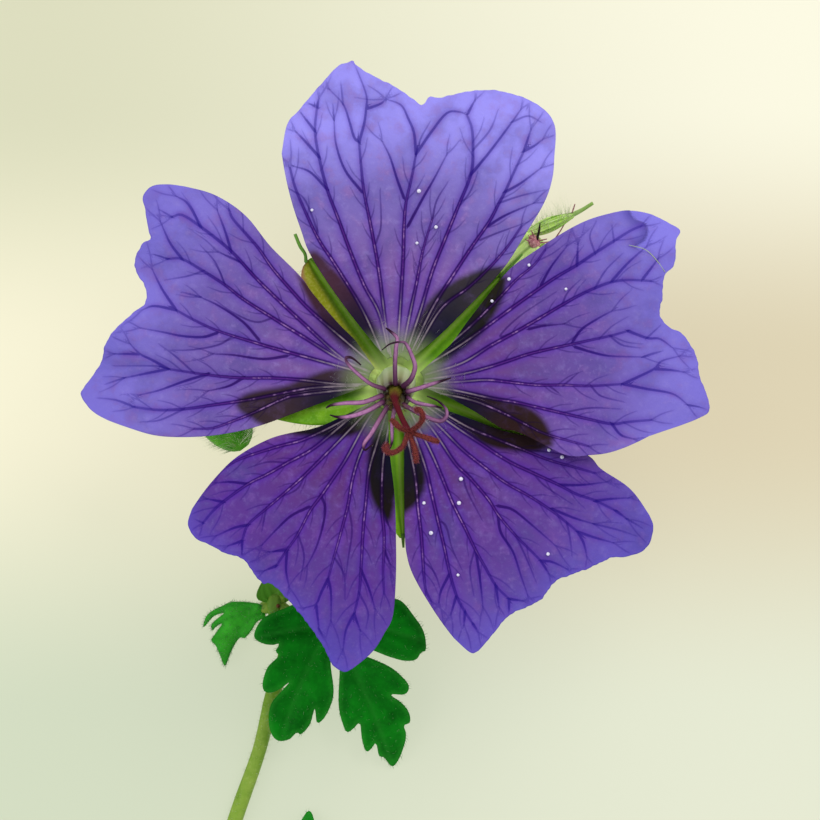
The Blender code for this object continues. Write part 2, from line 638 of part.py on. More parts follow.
def build():
    """Build every piece of the sprig."""
    for old in list(bpy.data.objects):
        bpy.data.objects.remove(old)
    sprig = bpy.data.collections.new("hardy_geranium")
    bpy.context.scene.collection.children.link(sprig)
    layer = bpy.context.view_layer.layer_collection.children[sprig.name]
    bpy.context.view_layer.active_layer_collection = layer
    finish(build_stem(sprig), GREEN_STEM)
    finish(build_right_leaf(sprig), GREEN_LEAF)
    finish(build_left_leaf(sprig), GREEN_LEAF)
    finish(build_lower_leaf(sprig), GREEN_LEAF)
    finish(build_bud(sprig), GREEN_SEPAL)
    finish(build_spent_calyx(sprig), GREEN_SEPAL)
    finish(build_spent_pistil(sprig), STIGMA_RED)
    finish(build_calyx(sprig), GREEN_SEPAL)
    for name, petal in PETALS.items():
        finish(build_petal(name, petal, sprig), VIOLET, 0.5)
    finish(build_stamens(sprig), STAMEN_PINK)
    finish(build_pistil(sprig), STIGMA_RED)


build()
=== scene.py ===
# %% [markdown]
# # A sprig of hardy geranium
# The packed model gives the size and place of every piece. This lesson dresses it: thin petals with
# their dark veins, keeled sepals, curled stamens, lobed leaves and fine hairs.
# Places are in millimetres from the bloom's axis, as a person would measure the flower, and they turn
# into the frame's metres only when a mesh is made.

# %% The frame
import math

import bpy
import numpy as np
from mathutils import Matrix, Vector
from mathutils.geometry import delaunay_2d_cdt


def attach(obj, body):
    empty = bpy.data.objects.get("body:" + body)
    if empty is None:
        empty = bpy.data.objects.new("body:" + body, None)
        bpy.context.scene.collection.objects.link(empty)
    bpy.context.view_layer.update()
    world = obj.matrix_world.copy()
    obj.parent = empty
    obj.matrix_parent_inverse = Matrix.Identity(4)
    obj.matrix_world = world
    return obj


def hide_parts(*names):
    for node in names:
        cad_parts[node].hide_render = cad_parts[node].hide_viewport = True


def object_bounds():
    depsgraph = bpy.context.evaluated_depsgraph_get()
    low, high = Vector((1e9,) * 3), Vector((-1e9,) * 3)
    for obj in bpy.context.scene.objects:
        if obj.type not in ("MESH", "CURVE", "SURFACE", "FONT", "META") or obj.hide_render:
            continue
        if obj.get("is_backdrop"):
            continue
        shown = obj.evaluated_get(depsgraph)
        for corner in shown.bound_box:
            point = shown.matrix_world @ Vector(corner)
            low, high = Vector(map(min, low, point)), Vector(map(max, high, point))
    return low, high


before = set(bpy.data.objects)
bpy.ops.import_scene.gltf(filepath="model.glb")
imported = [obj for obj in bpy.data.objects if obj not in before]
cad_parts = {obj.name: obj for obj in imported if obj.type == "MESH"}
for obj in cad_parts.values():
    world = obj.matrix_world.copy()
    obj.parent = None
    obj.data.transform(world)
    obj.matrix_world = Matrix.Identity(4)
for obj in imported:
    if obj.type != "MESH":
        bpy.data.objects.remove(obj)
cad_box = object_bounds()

MM = 0.001
UP = np.array([0, 0, 1.0])
SPRIG_CENTRE = np.array([-0.13, -14.35, 0.0])
SEED = 21
draw = np.random.default_rng(SEED)
print("nodes:", ", ".join(sorted(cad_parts)))

# %% [markdown]
# ## From the photograph to millimetres
# The camera looked straight down, so a pixel is a sideways distance that shrinks a little the closer
# a thing is to the lens. One real size, the bloom's width, sets the scale, and the height above the
# surface gives the rest. What was read off the photograph is written as its pixel.

# %% Reading a pixel
PICTURE_PIXELS = 820
PICTURE_MIDDLE = (PICTURE_PIXELS // 2, PICTURE_PIXELS // 2)
BLOOM_AXIS_PIXEL = (396, 384)
BLOOM_WIDTH = 45.0
BLOOM_WIDTH_PIXELS = 630
CAMERA_HEIGHT = 314.0
PETAL_BASE_HEIGHT = 13.95
PETAL_RIM_HEIGHT = 16.5


def scale_at(height):
    """Give the millimetres in a pixel at a height above the surface."""
    rim_scale = BLOOM_WIDTH / BLOOM_WIDTH_PIXELS
    return rim_scale * (CAMERA_HEIGHT - height) / (CAMERA_HEIGHT - PETAL_RIM_HEIGHT)


CAMERA_X = (PICTURE_MIDDLE[0] - BLOOM_AXIS_PIXEL[0]) * scale_at(PETAL_BASE_HEIGHT)
CAMERA_Y = (BLOOM_AXIS_PIXEL[1] - PICTURE_MIDDLE[1]) * scale_at(PETAL_BASE_HEIGHT)


def seen(across, down, height):
    """Place what the photograph shows at a pixel, at a height above the surface."""
    scale = scale_at(height)
    return np.array([CAMERA_X + (across - PICTURE_MIDDLE[0]) * scale,
                     CAMERA_Y + (PICTURE_MIDDLE[1] - down) * scale, height])


def seen_line(pixels, height):
    """Place a line of pixels at one height."""
    return np.array([seen(across, down, height) for across, down in pixels])


def smooth_line(points, steps):
    """Run a smooth curve through points, with the given steps between each pair."""
    knots = np.asarray(points, float)
    knots = np.vstack([2 * knots[0] - knots[1], knots, 2 * knots[-1] - knots[-2]])
    t = (np.arange(steps) / steps)[:, None]
    line = []
    for before, start, end, after in zip(knots, knots[1:], knots[2:], knots[3:]):
        line.append(0.5 * (2 * start + (end - before) * t
                           + (2 * before - 5 * start + 4 * end - after) * t ** 2
                           + (3 * start - before - 3 * end + after) * t ** 3))
    return np.vstack([*line, knots[-2]])


def closed_line(points, steps):
    """Run a smooth curve through points and back to the first."""
    return smooth_line([*points, points[0]], steps)


def ramp(value, low, high):
    """Run smoothly from 0 at low to 1 at high."""
    t = np.clip((np.asarray(value, float) - low) / (high - low), 0, 1)
    return t * t * (3 - 2 * t)


print("a pixel at the rim is", round(scale_at(PETAL_RIM_HEIGHT), 4), "mm")

# %% [markdown]
# ## Shader maths that reads like arithmetic
# A finish is a graph of nodes. Wiring it by hand hides the idea, so a small class wraps a socket and
# lets plus, minus and times add the Math nodes. Everything else comes from one method, node().

# %% A socket that can be added and multiplied, and a colour
class Value:
    """Wraps a socket, so that an expression on it adds the Math nodes."""

    def __init__(self, finish, socket):
        self.finish = finish
        self.socket = socket

    def math(self, operation, first, second=None):
        inputs = {0: first} if second is None else {0: first, 1: second}
        return self.finish.node("ShaderNodeMath", {"operation": operation}, inputs)

    def __add__(self, other):
        return self.math("ADD", self, other)

    def __radd__(self, other):
        return self.math("ADD", other, self)

    def __sub__(self, other):
        return self.math("SUBTRACT", self, other)

    def __rsub__(self, other):
        return self.math("SUBTRACT", other, self)

    def __mul__(self, other):
        return self.math("MULTIPLY", self, other)

    def __rmul__(self, other):
        return self.math("MULTIPLY", other, self)

    def __abs__(self):
        return self.math("ABSOLUTE", self)

    def ramp(self, low, high):
        """Run smoothly from 0 at low to 1 at high."""
        settings = {"interpolation_type": "SMOOTHSTEP"}
        return self.finish.node("ShaderNodeMapRange", settings, {0: self, 1: low, 2: high, 3: 0.0, 4: 1.0})


def paint(code):
    """Turn a colour as a screen shows it, such as 8b80e8, into the linear one that shaders use."""
    parts = [int(code[digit:digit + 2], 16) / 255 for digit in (0, 2, 4)]
    linear = [part / 12.92 if part <= 0.04045 else ((part + 0.055) / 1.055) ** 2.4 for part in parts]
    return (*linear, 1.0)


print("a mid grey is", [round(part, 3) for part in paint("808080")[:3]])

# %% A finish
class Finish:
    """One material and the few ways in which this sprig's finishes are built."""

    def __init__(self, name, roughness, specular):
        self.material = bpy.data.materials.new(name)
        self.material.use_nodes = True
        self.tree = self.material.node_tree
        self.shader = self.tree.nodes["Principled BSDF"]
        self.shader.inputs["Roughness"].default_value = roughness
        self.shader.inputs["Specular IOR Level"].default_value = specular

    def plug(self, socket, value):
        if isinstance(value, Value):
            self.tree.links.new(value.socket, socket)
        else:
            socket.default_value = value

    def node(self, kind, settings=None, inputs=None, output=0):
        """Add a node: its settings first, then the values or links of its sockets."""
        made = self.tree.nodes.new(kind)
        for setting, value in (settings or {}).items():
            setattr(made, setting, value)
        for socket, value in (inputs or {}).items():
            self.plug(made.inputs[socket], value)
        return Value(self, made.outputs[output])

    def mark(self, name):
        """Read a number that the mesh carries at each point."""
        return self.node("ShaderNodeAttribute", {"attribute_name": name}, output="Fac")

    def place(self):
        """Read the place on the piece."""
        return self.node("ShaderNodeTexCoord", output="Object")

    def noise(self, size, detail=3.0, roughness=0.55):
        """Give soft noise from 0 to 1 whose blots are about the given millimetres across."""
        scale = 1 / (size * MM)
        return self.node("ShaderNodeTexNoise", {}, {"Vector": self.place(), "Scale": scale,
                                                   "Detail": detail, "Roughness": roughness})

    def mix(self, share, first, second):
        """Mix two colours."""
        return self.node("ShaderNodeMix", {"data_type": "RGBA", "clamp_factor": True},
                         {0: share, 6: first, 7: second}, output=2)

    def colour(self, value):
        self.plug(self.shader.inputs["Base Color"], value)

    def rough(self, value):
        self.plug(self.shader.inputs["Roughness"], value)

    def relief(self, height, depth, strength=0.6):
        """Bump the surface by a height, its full depth given in millimetres."""
        bump = self.node("ShaderNodeBump", {}, {"Strength": strength, "Distance": depth * MM,
                                                "Height": height})
        self.plug(self.shader.inputs["Normal"], bump)


print("a finish offers:", ", ".join(name for name in vars(Finish) if name[0] != "_"))

# %% [markdown]
# ## Gathering a piece
# Each piece is one mesh, however many leaves, hairs or threads it has. A skin gathers their points and
# faces, with a number at each point for every mark that the finish will read, such as how far along a
# filament a point is. The dressed piece then stands for the plain solid of the packed model.

# %% A skin
class Skin:
    """Gathers points in millimetres, faces, and marks: one number a point under each name."""

    def __init__(self):
        self.points = []
        self.faces = []
        self.marks = {}
        self.count = 0

    def add(self, points, faces, **marks):
        points = np.asarray(points, float).reshape(-1, 3)
        for name, values in marks.items():
            row = self.marks.setdefault(name, [np.zeros(self.count)])
            row.append(np.broadcast_to(np.asarray(values, float).ravel(), len(points)).copy())
        for name in set(self.marks) - set(marks):
            self.marks[name].append(np.zeros(len(points)))
        self.faces += [tuple(corner + self.count for corner in face) for face in faces]
        self.points.append(points)
        self.count += len(points)

    def piece(self, name, finish, slot, *nodes):
        """Make the mesh, give it its finish and let it stand for the packed solids."""
        points = (np.vstack(self.points) - SPRIG_CENTRE) * MM
        mesh = bpy.data.meshes.new(name)
        mesh.from_pydata(points.tolist(), [], self.faces)
        for mark, values in self.marks.items():
            held = mesh.attributes.new(mark, "FLOAT", "POINT")
            held.data.foreach_set("value", np.concatenate(values).astype(np.float32))
        mesh.materials.append(finish.material)
        mesh.shade_smooth()
        made = bpy.data.objects.new(name, mesh)
        bpy.context.scene.collection.objects.link(made)
        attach(made, "root")
        if nodes:
            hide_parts(*nodes)
        triangles = sum(len(face) - 2 for face in self.faces)
        print(name, "has", triangles, "triangles")
        return made


print("a skin offers:", ", ".join(name for name in vars(Skin) if name[0] != "_"))

# %% Grids and tubes
def grid_faces(rows, columns, closed=False, start=0):
    """Give the faces of a grid of points, closed round its columns for a tube."""
    faces = []
    for row in range(rows - 1):
        for column in range(columns if closed else columns - 1):
            after = (column + 1) % columns
            a = start + row * columns
            faces.append((a + column, a + after, a + columns + after, a + columns + column))
    return faces


def ring_faces(rings, sides):
    """Give the faces of a stack of rings, closed at each end by a fan to one of two last points."""
    faces = grid_faces(rings, sides, closed=True)
    foot = rings * sides
    for column in range(sides):
        after = (column + 1) % sides
        faces.append((foot, after, column))
        faces.append((foot + 1, foot - sides + column, foot - sides + after))
    return faces


def unit(vector):
    """Give a vector a length of one."""
    return vector / max(np.linalg.norm(vector), 1e-9)


def tube(skin, path, radii, sides=10, ribs=(0, 0.0), flat=1.0, **marks):
    """Sweep a round or ribbed section along a path, with pointed caps and a mark of the way along."""
    path = np.asarray(path, float)
    count = len(path)
    radii = np.interp(np.linspace(0, 1, count), np.linspace(0, 1, len(radii)), radii)
    tangents = np.gradient(path, axis=0)
    side = unit(np.cross(tangents[0], (0.3, 0.2, 1.0)))
    number, depth = ribs
    angles = np.linspace(0, 2 * np.pi, sides, endpoint=False)
    rings = []
    ridge = []
    for point, tangent, radius in zip(path, tangents, radii):
        tangent = unit(tangent)
        side = unit(side - tangent * np.dot(side, tangent))
        other = np.cross(tangent, side)
        reach = radius * (1 + depth * np.cos(number * angles))
        rings.append(point + np.outer(reach * np.cos(angles), side)
                     + np.outer(reach * np.sin(angles) * flat, other))
        # How far each point of the section faces up, read by painted shade that darkens the sides facing
        # away from the light.
        ridge.append(np.cos(angles) * side[2] + np.sin(angles) * other[2])
    points = np.vstack([*rings, path[:1], path[-1:]])
    along = np.append(np.repeat(np.linspace(0, 1, count), sides), [0, 1])
    skin.add(points, ring_faces(count, sides), along=along,
             ridge=np.append(np.concatenate(ridge), [0, 0]), **marks)


print("a tube of 3 rings with 8 sides has", len(ring_faces(3, 8)), "faces")

# %% Hairs, blades and even steps
HAIR_BEND = 0.12
THIRD_TURN = 2 * math.pi / 3


def needles(skin, roots, directions, lengths, width=0.03, **marks):
    """Add fine three-sided hairs that bend a little on the way to their tips."""
    for root, direction, length in zip(roots, directions, lengths):
        direction = unit(np.asarray(direction, float))
        side = unit(np.cross(direction, draw.normal(size=3)))
        other = np.cross(direction, side)
        bend = side * length * HAIR_BEND
        points = []
        for share, half in ((0.0, width), (0.55, width * 0.6)):
            centre = root + direction * length * share + bend * share ** 2
            for turn in (0, THIRD_TURN, 2 * THIRD_TURN):
                points.append(centre + (side * math.cos(turn) + other * math.sin(turn)) * half)
        points.append(root + direction * length + bend)
        faces = grid_faces(2, 3, closed=True) + [(3, 4, 6), (4, 5, 6), (5, 3, 6), (2, 1, 0)]
        skin.add(points, faces, **marks)


def blade(skin, top, thickness, **marks):
    """Add a closed thin blade: a grid of points, and the same grid below it as its underside."""
    rows, columns = top.shape[:2]
    below = top - UP * np.asarray(thickness)[..., None]
    count = rows * columns
    faces = grid_faces(rows, columns)
    faces += [tuple(reversed(face)) for face in grid_faces(rows, columns, start=count)]
    border = list(range(columns))
    border += [row * columns + columns - 1 for row in range(1, rows)]
    border += [(rows - 1) * columns + column for column in reversed(range(columns - 1))]
    border += [row * columns for row in reversed(range(1, rows - 1))]
    for first, second in zip(border, border[1:] + border[:1]):
        faces.append((second, first, first + count, second + count))
    points = np.vstack([top.reshape(-1, 3), below.reshape(-1, 3)])
    doubled = {name: np.tile(np.broadcast_to(values, (rows, columns)).ravel(), 2)
               for name, values in marks.items()}
    skin.add(points, faces, **doubled)


def spread(line, number):
    """Space points evenly along a line."""
    steps = np.linalg.norm(np.diff(line, axis=0), axis=1)
    distance = np.append(0, np.cumsum(steps))
    stops = np.linspace(0, distance[-1], number)
    return np.stack([np.interp(stops, distance, line[:, axis]) for axis in range(line.shape[1])], 1)


print("even steps along a bend:", spread(np.array([[0, 0], [1, 0], [1, 1.0]]), 3).tolist())

# %% [markdown]
# ## Camera, floor and light
# The camera hangs above the bloom and looks straight down, a little to the bloom's right, where the
# middle of the photograph is. Its lens follows from the view's real width at the petals' rim. The pale
# floor glows faintly as paper by a window does, which keeps the shadows under the petals as soft as the
# photograph's. A wide softbox, with a weaker one across from it, gives the petals their gentle shading;
# a sun lamp would draw hard edges. Colours are chosen as a screen shows them, so the view transform is
# the plain one.

# %% Camera
camera_data = bpy.data.cameras.new("camera")
camera_data.sensor_width = 36
view_width = PICTURE_PIXELS * scale_at(PETAL_RIM_HEIGHT)
camera_data.lens = camera_data.sensor_width * (CAMERA_HEIGHT - PETAL_RIM_HEIGHT) / view_width
camera_data.clip_start = 0.01
camera = bpy.data.objects.new("camera", camera_data)
camera.location = (np.array([CAMERA_X, CAMERA_Y, CAMERA_HEIGHT]) - SPRIG_CENTRE) * MM
bpy.context.scene.collection.objects.link(camera)
bpy.context.scene.camera = camera
bpy.context.scene.view_settings.view_transform = "Standard"
print("the lens is", round(camera_data.lens, 1), "mm")

# %% Floor
FLOOR_HALF = 0.6
FLOOR_GLOW = 0.8
paper = Finish("pale floor", roughness=0.9, specular=0.05)
rightward, frontward = [paper.node("ShaderNodeSeparateXYZ", {}, {0: paper.place()}, output=axis)
                        for axis in ("X", "Y")]
# Painted light and shade on the floor: its tint is brighter at the top right and at the left halfway down,
# darker at the right halfway down, and the floor's glow takes the same tint.
near_top = paper.mix(rightward.ramp(-0.03, 0.03), paint("d4d5b6"), paint("f5f3dc"))
halfway = paper.mix(rightward.ramp(-0.024, 0.02), paint("f2eed0"), paint("d9ceae"))
near_cut = paper.mix(rightward.ramp(-0.03, 0.03), paint("ccd6bb"), paint("dfe3cc"))
painted_light_tint = paper.mix(frontward.ramp(-0.011, 0.012), near_cut, halfway)
painted_light_tint = paper.mix(frontward.ramp(0.016, 0.036), painted_light_tint, near_top)
paper.colour(paper.mix(0.8, painted_light_tint, paint("4a4840")))
paper.plug(paper.shader.inputs["Emission Color"], painted_light_tint)
paper.shader.inputs["Emission Strength"].default_value = FLOOR_GLOW
floor_mesh = bpy.data.meshes.new("floor")
corners = [(-FLOOR_HALF, -FLOOR_HALF, 0), (FLOOR_HALF, -FLOOR_HALF, 0),
           (FLOOR_HALF, FLOOR_HALF, 0), (-FLOOR_HALF, FLOOR_HALF, 0)]
floor_mesh.from_pydata(corners, [], [(0, 1, 2, 3)])
floor_mesh.materials.append(paper.material)
floor = bpy.data.objects.new("floor", floor_mesh)
bpy.context.scene.collection.objects.link(floor)
floor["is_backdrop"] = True
print("the floor is", 2 * FLOOR_HALF, "m wide")

# %% Lights
STUDIO_GLOW = 0.62
SOFTBOX_AIM = Vector((0, 0.012, 0.012))
world = bpy.data.worlds.new("studio")
world.use_nodes = True
studio = world.node_tree.nodes["Background"]
studio.inputs["Color"].default_value = paint("f6f6ff")
studio.inputs["Strength"].default_value = STUDIO_GLOW
bpy.context.scene.world = world


def softbox(name, place, size, watts, colour):
    """Hang a square softbox that faces the bloom."""
    light = bpy.data.lights.new(name, "AREA")
    light.size = size
    light.energy = watts
    light.color = colour
    made = bpy.data.objects.new(name, light)
    made.location = place
    made.rotation_euler = (SOFTBOX_AIM - Vector(place)).to_track_quat("-Z", "Y").to_euler()
    bpy.context.scene.collection.objects.link(made)


softbox("key", (0.16, 0.30, 0.42), 0.30, 1.5, (1.0, 0.985, 0.96))
softbox("fill", (-0.34, -0.10, 0.30), 0.34, 0.5, (0.97, 0.98, 1.0))
print("lights:", ", ".join(light.name for light in bpy.data.lights))

# %% [markdown]
# ## The petals' shape
# A petal of this geranium is a wide notched wedge, so it is built as a fan: rows run from the root to
# the margin and columns across it. Its two side edges and its margin were read off the photograph, and
# smooth curves run through them. All five lie in one shared saucer that flattens towards the rim, each
# with a wave of its own. A subdivision surface would round the notches off, so the fan is made fine.

# %% The petals' outlines
PETAL_CUP_HEIGHT = 3.0
PETAL_CUP_RADIUS = 16.0
PETAL_RECURVE = 0.9
PETAL_RECURVE_SPAN = 6
PETAL_LENGTH = 20
PETAL_ROOT_FROM_AXIS = 1.0
PETAL_ROOT_RADIUS = 1.0
PETAL_THICKNESS = 0.26
MARGIN_CRINKLES = (13, 22, 37)
MARGIN_CRINKLE_DEPTH = 0.018
# A petal's depth, at its root and at its margin, is painted shade: how much darker the petal is drawn, none
# on the top petal and most on the two lower ones.
PETALS = {
    "petal_top": {
        "azimuth": 87,
        "left": [(371, 340), (342, 303), (311, 256), (301, 230), (291, 199), (282, 154)],
        "margin": [(288, 123), (299, 110), (321, 83), (336, 66), (348, 61), (353, 59), (356, 64), (370, 74),
                   (391, 85), (411, 98), (418, 104), (421, 106), (425, 103), (428, 98), (432, 97), (441, 98),
                   (454, 94), (485, 89), (509, 92), (537, 104), (554, 124)],
        "right": [(434, 340), (464, 311), (503, 269), (523, 238), (544, 203), (552, 179), (554, 158)],
        "wave": (0.55, 2.0, 0.4), "lift": (0, 0), "depth": (0.0, 0.0),
    },
    "petal_left": {
        "azimuth": 163,
        "left": [(344, 394), (297, 412), (259, 426), (217, 435), (175, 437), (154, 435), (133, 429)],
        "margin": [(108, 420), (91, 410), (80, 395), (83, 387), (93, 374), (102, 359), (105, 345),
                   (116, 329), (127, 319), (144, 305), (147, 295), (144, 285), (134, 265),
                   (142, 244), (151, 238), (146, 212), (143, 197), (152, 186), (167, 184)],
        "right": [(356, 341), (341, 326), (325, 308), (311, 291), (301, 277), (272, 248),
                  (247, 217), (217, 196), (184, 186)],
        "wave": (0.6, 2.4, 1.2), "lift": (0, 0), "depth": (0.05, 0.6),
    },
    "petal_lower_left": {
        "azimuth": 232,
        "left": [(389, 446), (394, 489), (396, 540), (396, 575), (393, 615), (385, 632), (373, 651),
                 (352, 669)],
        "margin": [(343, 672), (331, 663), (323, 646), (304, 618), (283, 594), (270, 583),
                   (262, 583), (249, 566), (242, 558), (226, 553), (209, 544), (197, 539),
                   (190, 530), (188, 522)],
        "right": [(326, 424), (311, 429), (290, 433), (269, 439), (238, 456), (216, 477), (192, 509)],
        "wave": (0.5, 2.2, 2.3), "lift": (0, 0), "depth": (1.0, 1.0),
    },
    "petal_lower_right": {
        "azimuth": 307,
        "left": [(474, 420), (501, 430), (535, 438), (585, 454), (601, 469), (629, 488), (649, 515)],
        "margin": [(653, 525), (652, 536), (649, 545), (640, 553), (626, 557), (611, 558),
                   (586, 569), (569, 575), (554, 582), (540, 600), (515, 612), (504, 620),
                   (495, 631), (485, 643), (477, 651), (470, 652)],
        "right": [(404, 480), (405, 538), (407, 556), (411, 570), (420, 588), (431, 606), (454, 638)],
        "wave": (0.5, 2.1, 0.9), "lift": (0, 0), "depth": (0.95, 0.9),
    },
    "petal_right": {
        "azimuth": 9,
        "left": [(450, 345), (470, 318), (505, 274), (535, 251), (581, 223), (615, 212)],
        "margin": [(629, 210), (650, 213), (674, 225), (681, 231), (676, 242), (674, 265),
                   (664, 276), (662, 299), (660, 316), (671, 328), (684, 335), (697, 358),
                   (699, 375), (708, 400), (709, 409), (703, 416), (669, 429)],
        "right": [(446, 396), (474, 411), (501, 428), (518, 432), (558, 452), (573, 456),
                  (589, 455), (610, 452), (648, 436)],
        "wave": (0.45, 2.0, 2.8), "lift": (0, 1.25), "depth": (0.65, 0.55),
    },
}


for name, petal in PETALS.items():
    print(name, "has", sum(len(petal[part]) for part in ("left", "margin", "right")), "outline points")

# %% The petals' surface
def petal_rise(radius):
    """Give the height of the petals' shared saucer at a radius from their root."""
    cup = PETAL_CUP_HEIGHT * np.sin(np.pi / 2 * np.minimum(radius / PETAL_CUP_RADIUS, 1))
    recurve = PETAL_RECURVE * np.maximum(0, (radius - PETAL_CUP_RADIUS) / PETAL_RECURVE_SPAN) ** 2
    return PETAL_BASE_HEIGHT + cup - recurve


def polar(petal, pixels):
    """Turn pixels into (radius, degrees from the petal's middle) about its root."""
    middle = math.radians(petal["azimuth"])
    root = np.array([math.cos(middle), math.sin(middle)]) * PETAL_ROOT_FROM_AXIS
    reach = seen_line(pixels, PETAL_RIM_HEIGHT)[:, :2] - root
    turn = np.degrees(np.arctan2(reach[:, 1], reach[:, 0])) - petal["azimuth"]
    return np.stack([np.hypot(reach[:, 0], reach[:, 1]), (turn + 180) % 360 - 180], 1)


def side_angles(petal, radius):
    """Give the angles of a petal's two side edges at each radius."""
    sides = []
    for part in ("left", "right"):
        edge = smooth_line(polar(petal, petal[part]), 6)
        sides.append(np.interp(radius, edge[:, 0], edge[:, 1]))
    return sides


def petal_places(petal, across, radius):
    """Place points of a petal, across running from 0 on its left edge to 1 on its right."""
    left, right = side_angles(petal, radius)
    middle = math.radians(petal["azimuth"])
    angle = middle + np.radians(left + (right - left) * across)
    height, number, phase = petal["wave"]
    wave = height * (radius / PETAL_LENGTH) ** 3 * np.cos(number * np.pi * (2 * across - 1) + phase)
    lift_left, lift_right = petal["lift"]
    lift = (lift_left * np.maximum(0, 1 - 3 * across) ** 2
            + lift_right * np.maximum(0, 3 * across - 2) ** 2) * np.clip((radius - 3) / 7, 0, 1)
    return np.stack([PETAL_ROOT_FROM_AXIS * math.cos(middle) + radius * np.cos(angle),
                     PETAL_ROOT_FROM_AXIS * math.sin(middle) + radius * np.sin(angle),
                     petal_rise(radius) + wave + lift], -1)


def petal_grid(petal, rows, columns):
    """Give a petal's grid of points, with the share of the way across and out of each."""
    corners = np.array([polar(petal, petal["left"])[-1], *polar(petal, petal["margin"]),
                        polar(petal, petal["right"])[-1]])
    left, right = side_angles(petal, corners[:, 0])
    knots = np.stack([(corners[:, 1] - left) / (right - left) * PETAL_LENGTH, corners[:, 0]], 1)
    margin = spread(smooth_line(knots, 10), columns)
    across = np.clip(margin[:, 0] / PETAL_LENGTH, 0, 1)
    phases = draw.uniform(0, 2 * np.pi, len(MARGIN_CRINKLES))
    crinkle = sum(MARGIN_CRINKLE_DEPTH * np.sin(2 * np.pi * number * across + phase)
                  for number, phase in zip(MARGIN_CRINKLES, phases))
    edge = margin[:, 1] + crinkle * np.sin(np.pi * across)
    out = np.linspace(0, 1, rows)[:, None]
    radius = PETAL_ROOT_RADIUS + (edge[None, :] - PETAL_ROOT_RADIUS) * out
    places = petal_places(petal, np.broadcast_to(across, radius.shape), radius)
    return places, np.broadcast_to(across, radius.shape), np.broadcast_to(out, radius.shape)


for name, petal in PETALS.items():
    places, _, _ = petal_grid(petal, 5, 9)
    print(name, "reaches", round(float(np.hypot(places[..., 0], places[..., 1]).max()), 1), "mm")

# %% [markdown]
# ## The petals' veins
# Dark veins run out from each root and fork towards the margin. Each was read off the photograph as a
# line of pixels: the main veins, their forks, and the faint ones between. Drawn as mesh they would need
# millions of faces, so each point of the petal instead carries how far it is to the side of its nearest
# vein. The sign of that distance tells left from right, so the finish finds the vein's middle even
# between two points, and the lines come out sharp on a fairly coarse fan. Each kind of vein has marks of
# its own, because where two kinds meet one mark would jump from side to side and scribble. The finest
# twigs are too many to read, so a seeded rule grows them from the main veins and beyond the open ends.

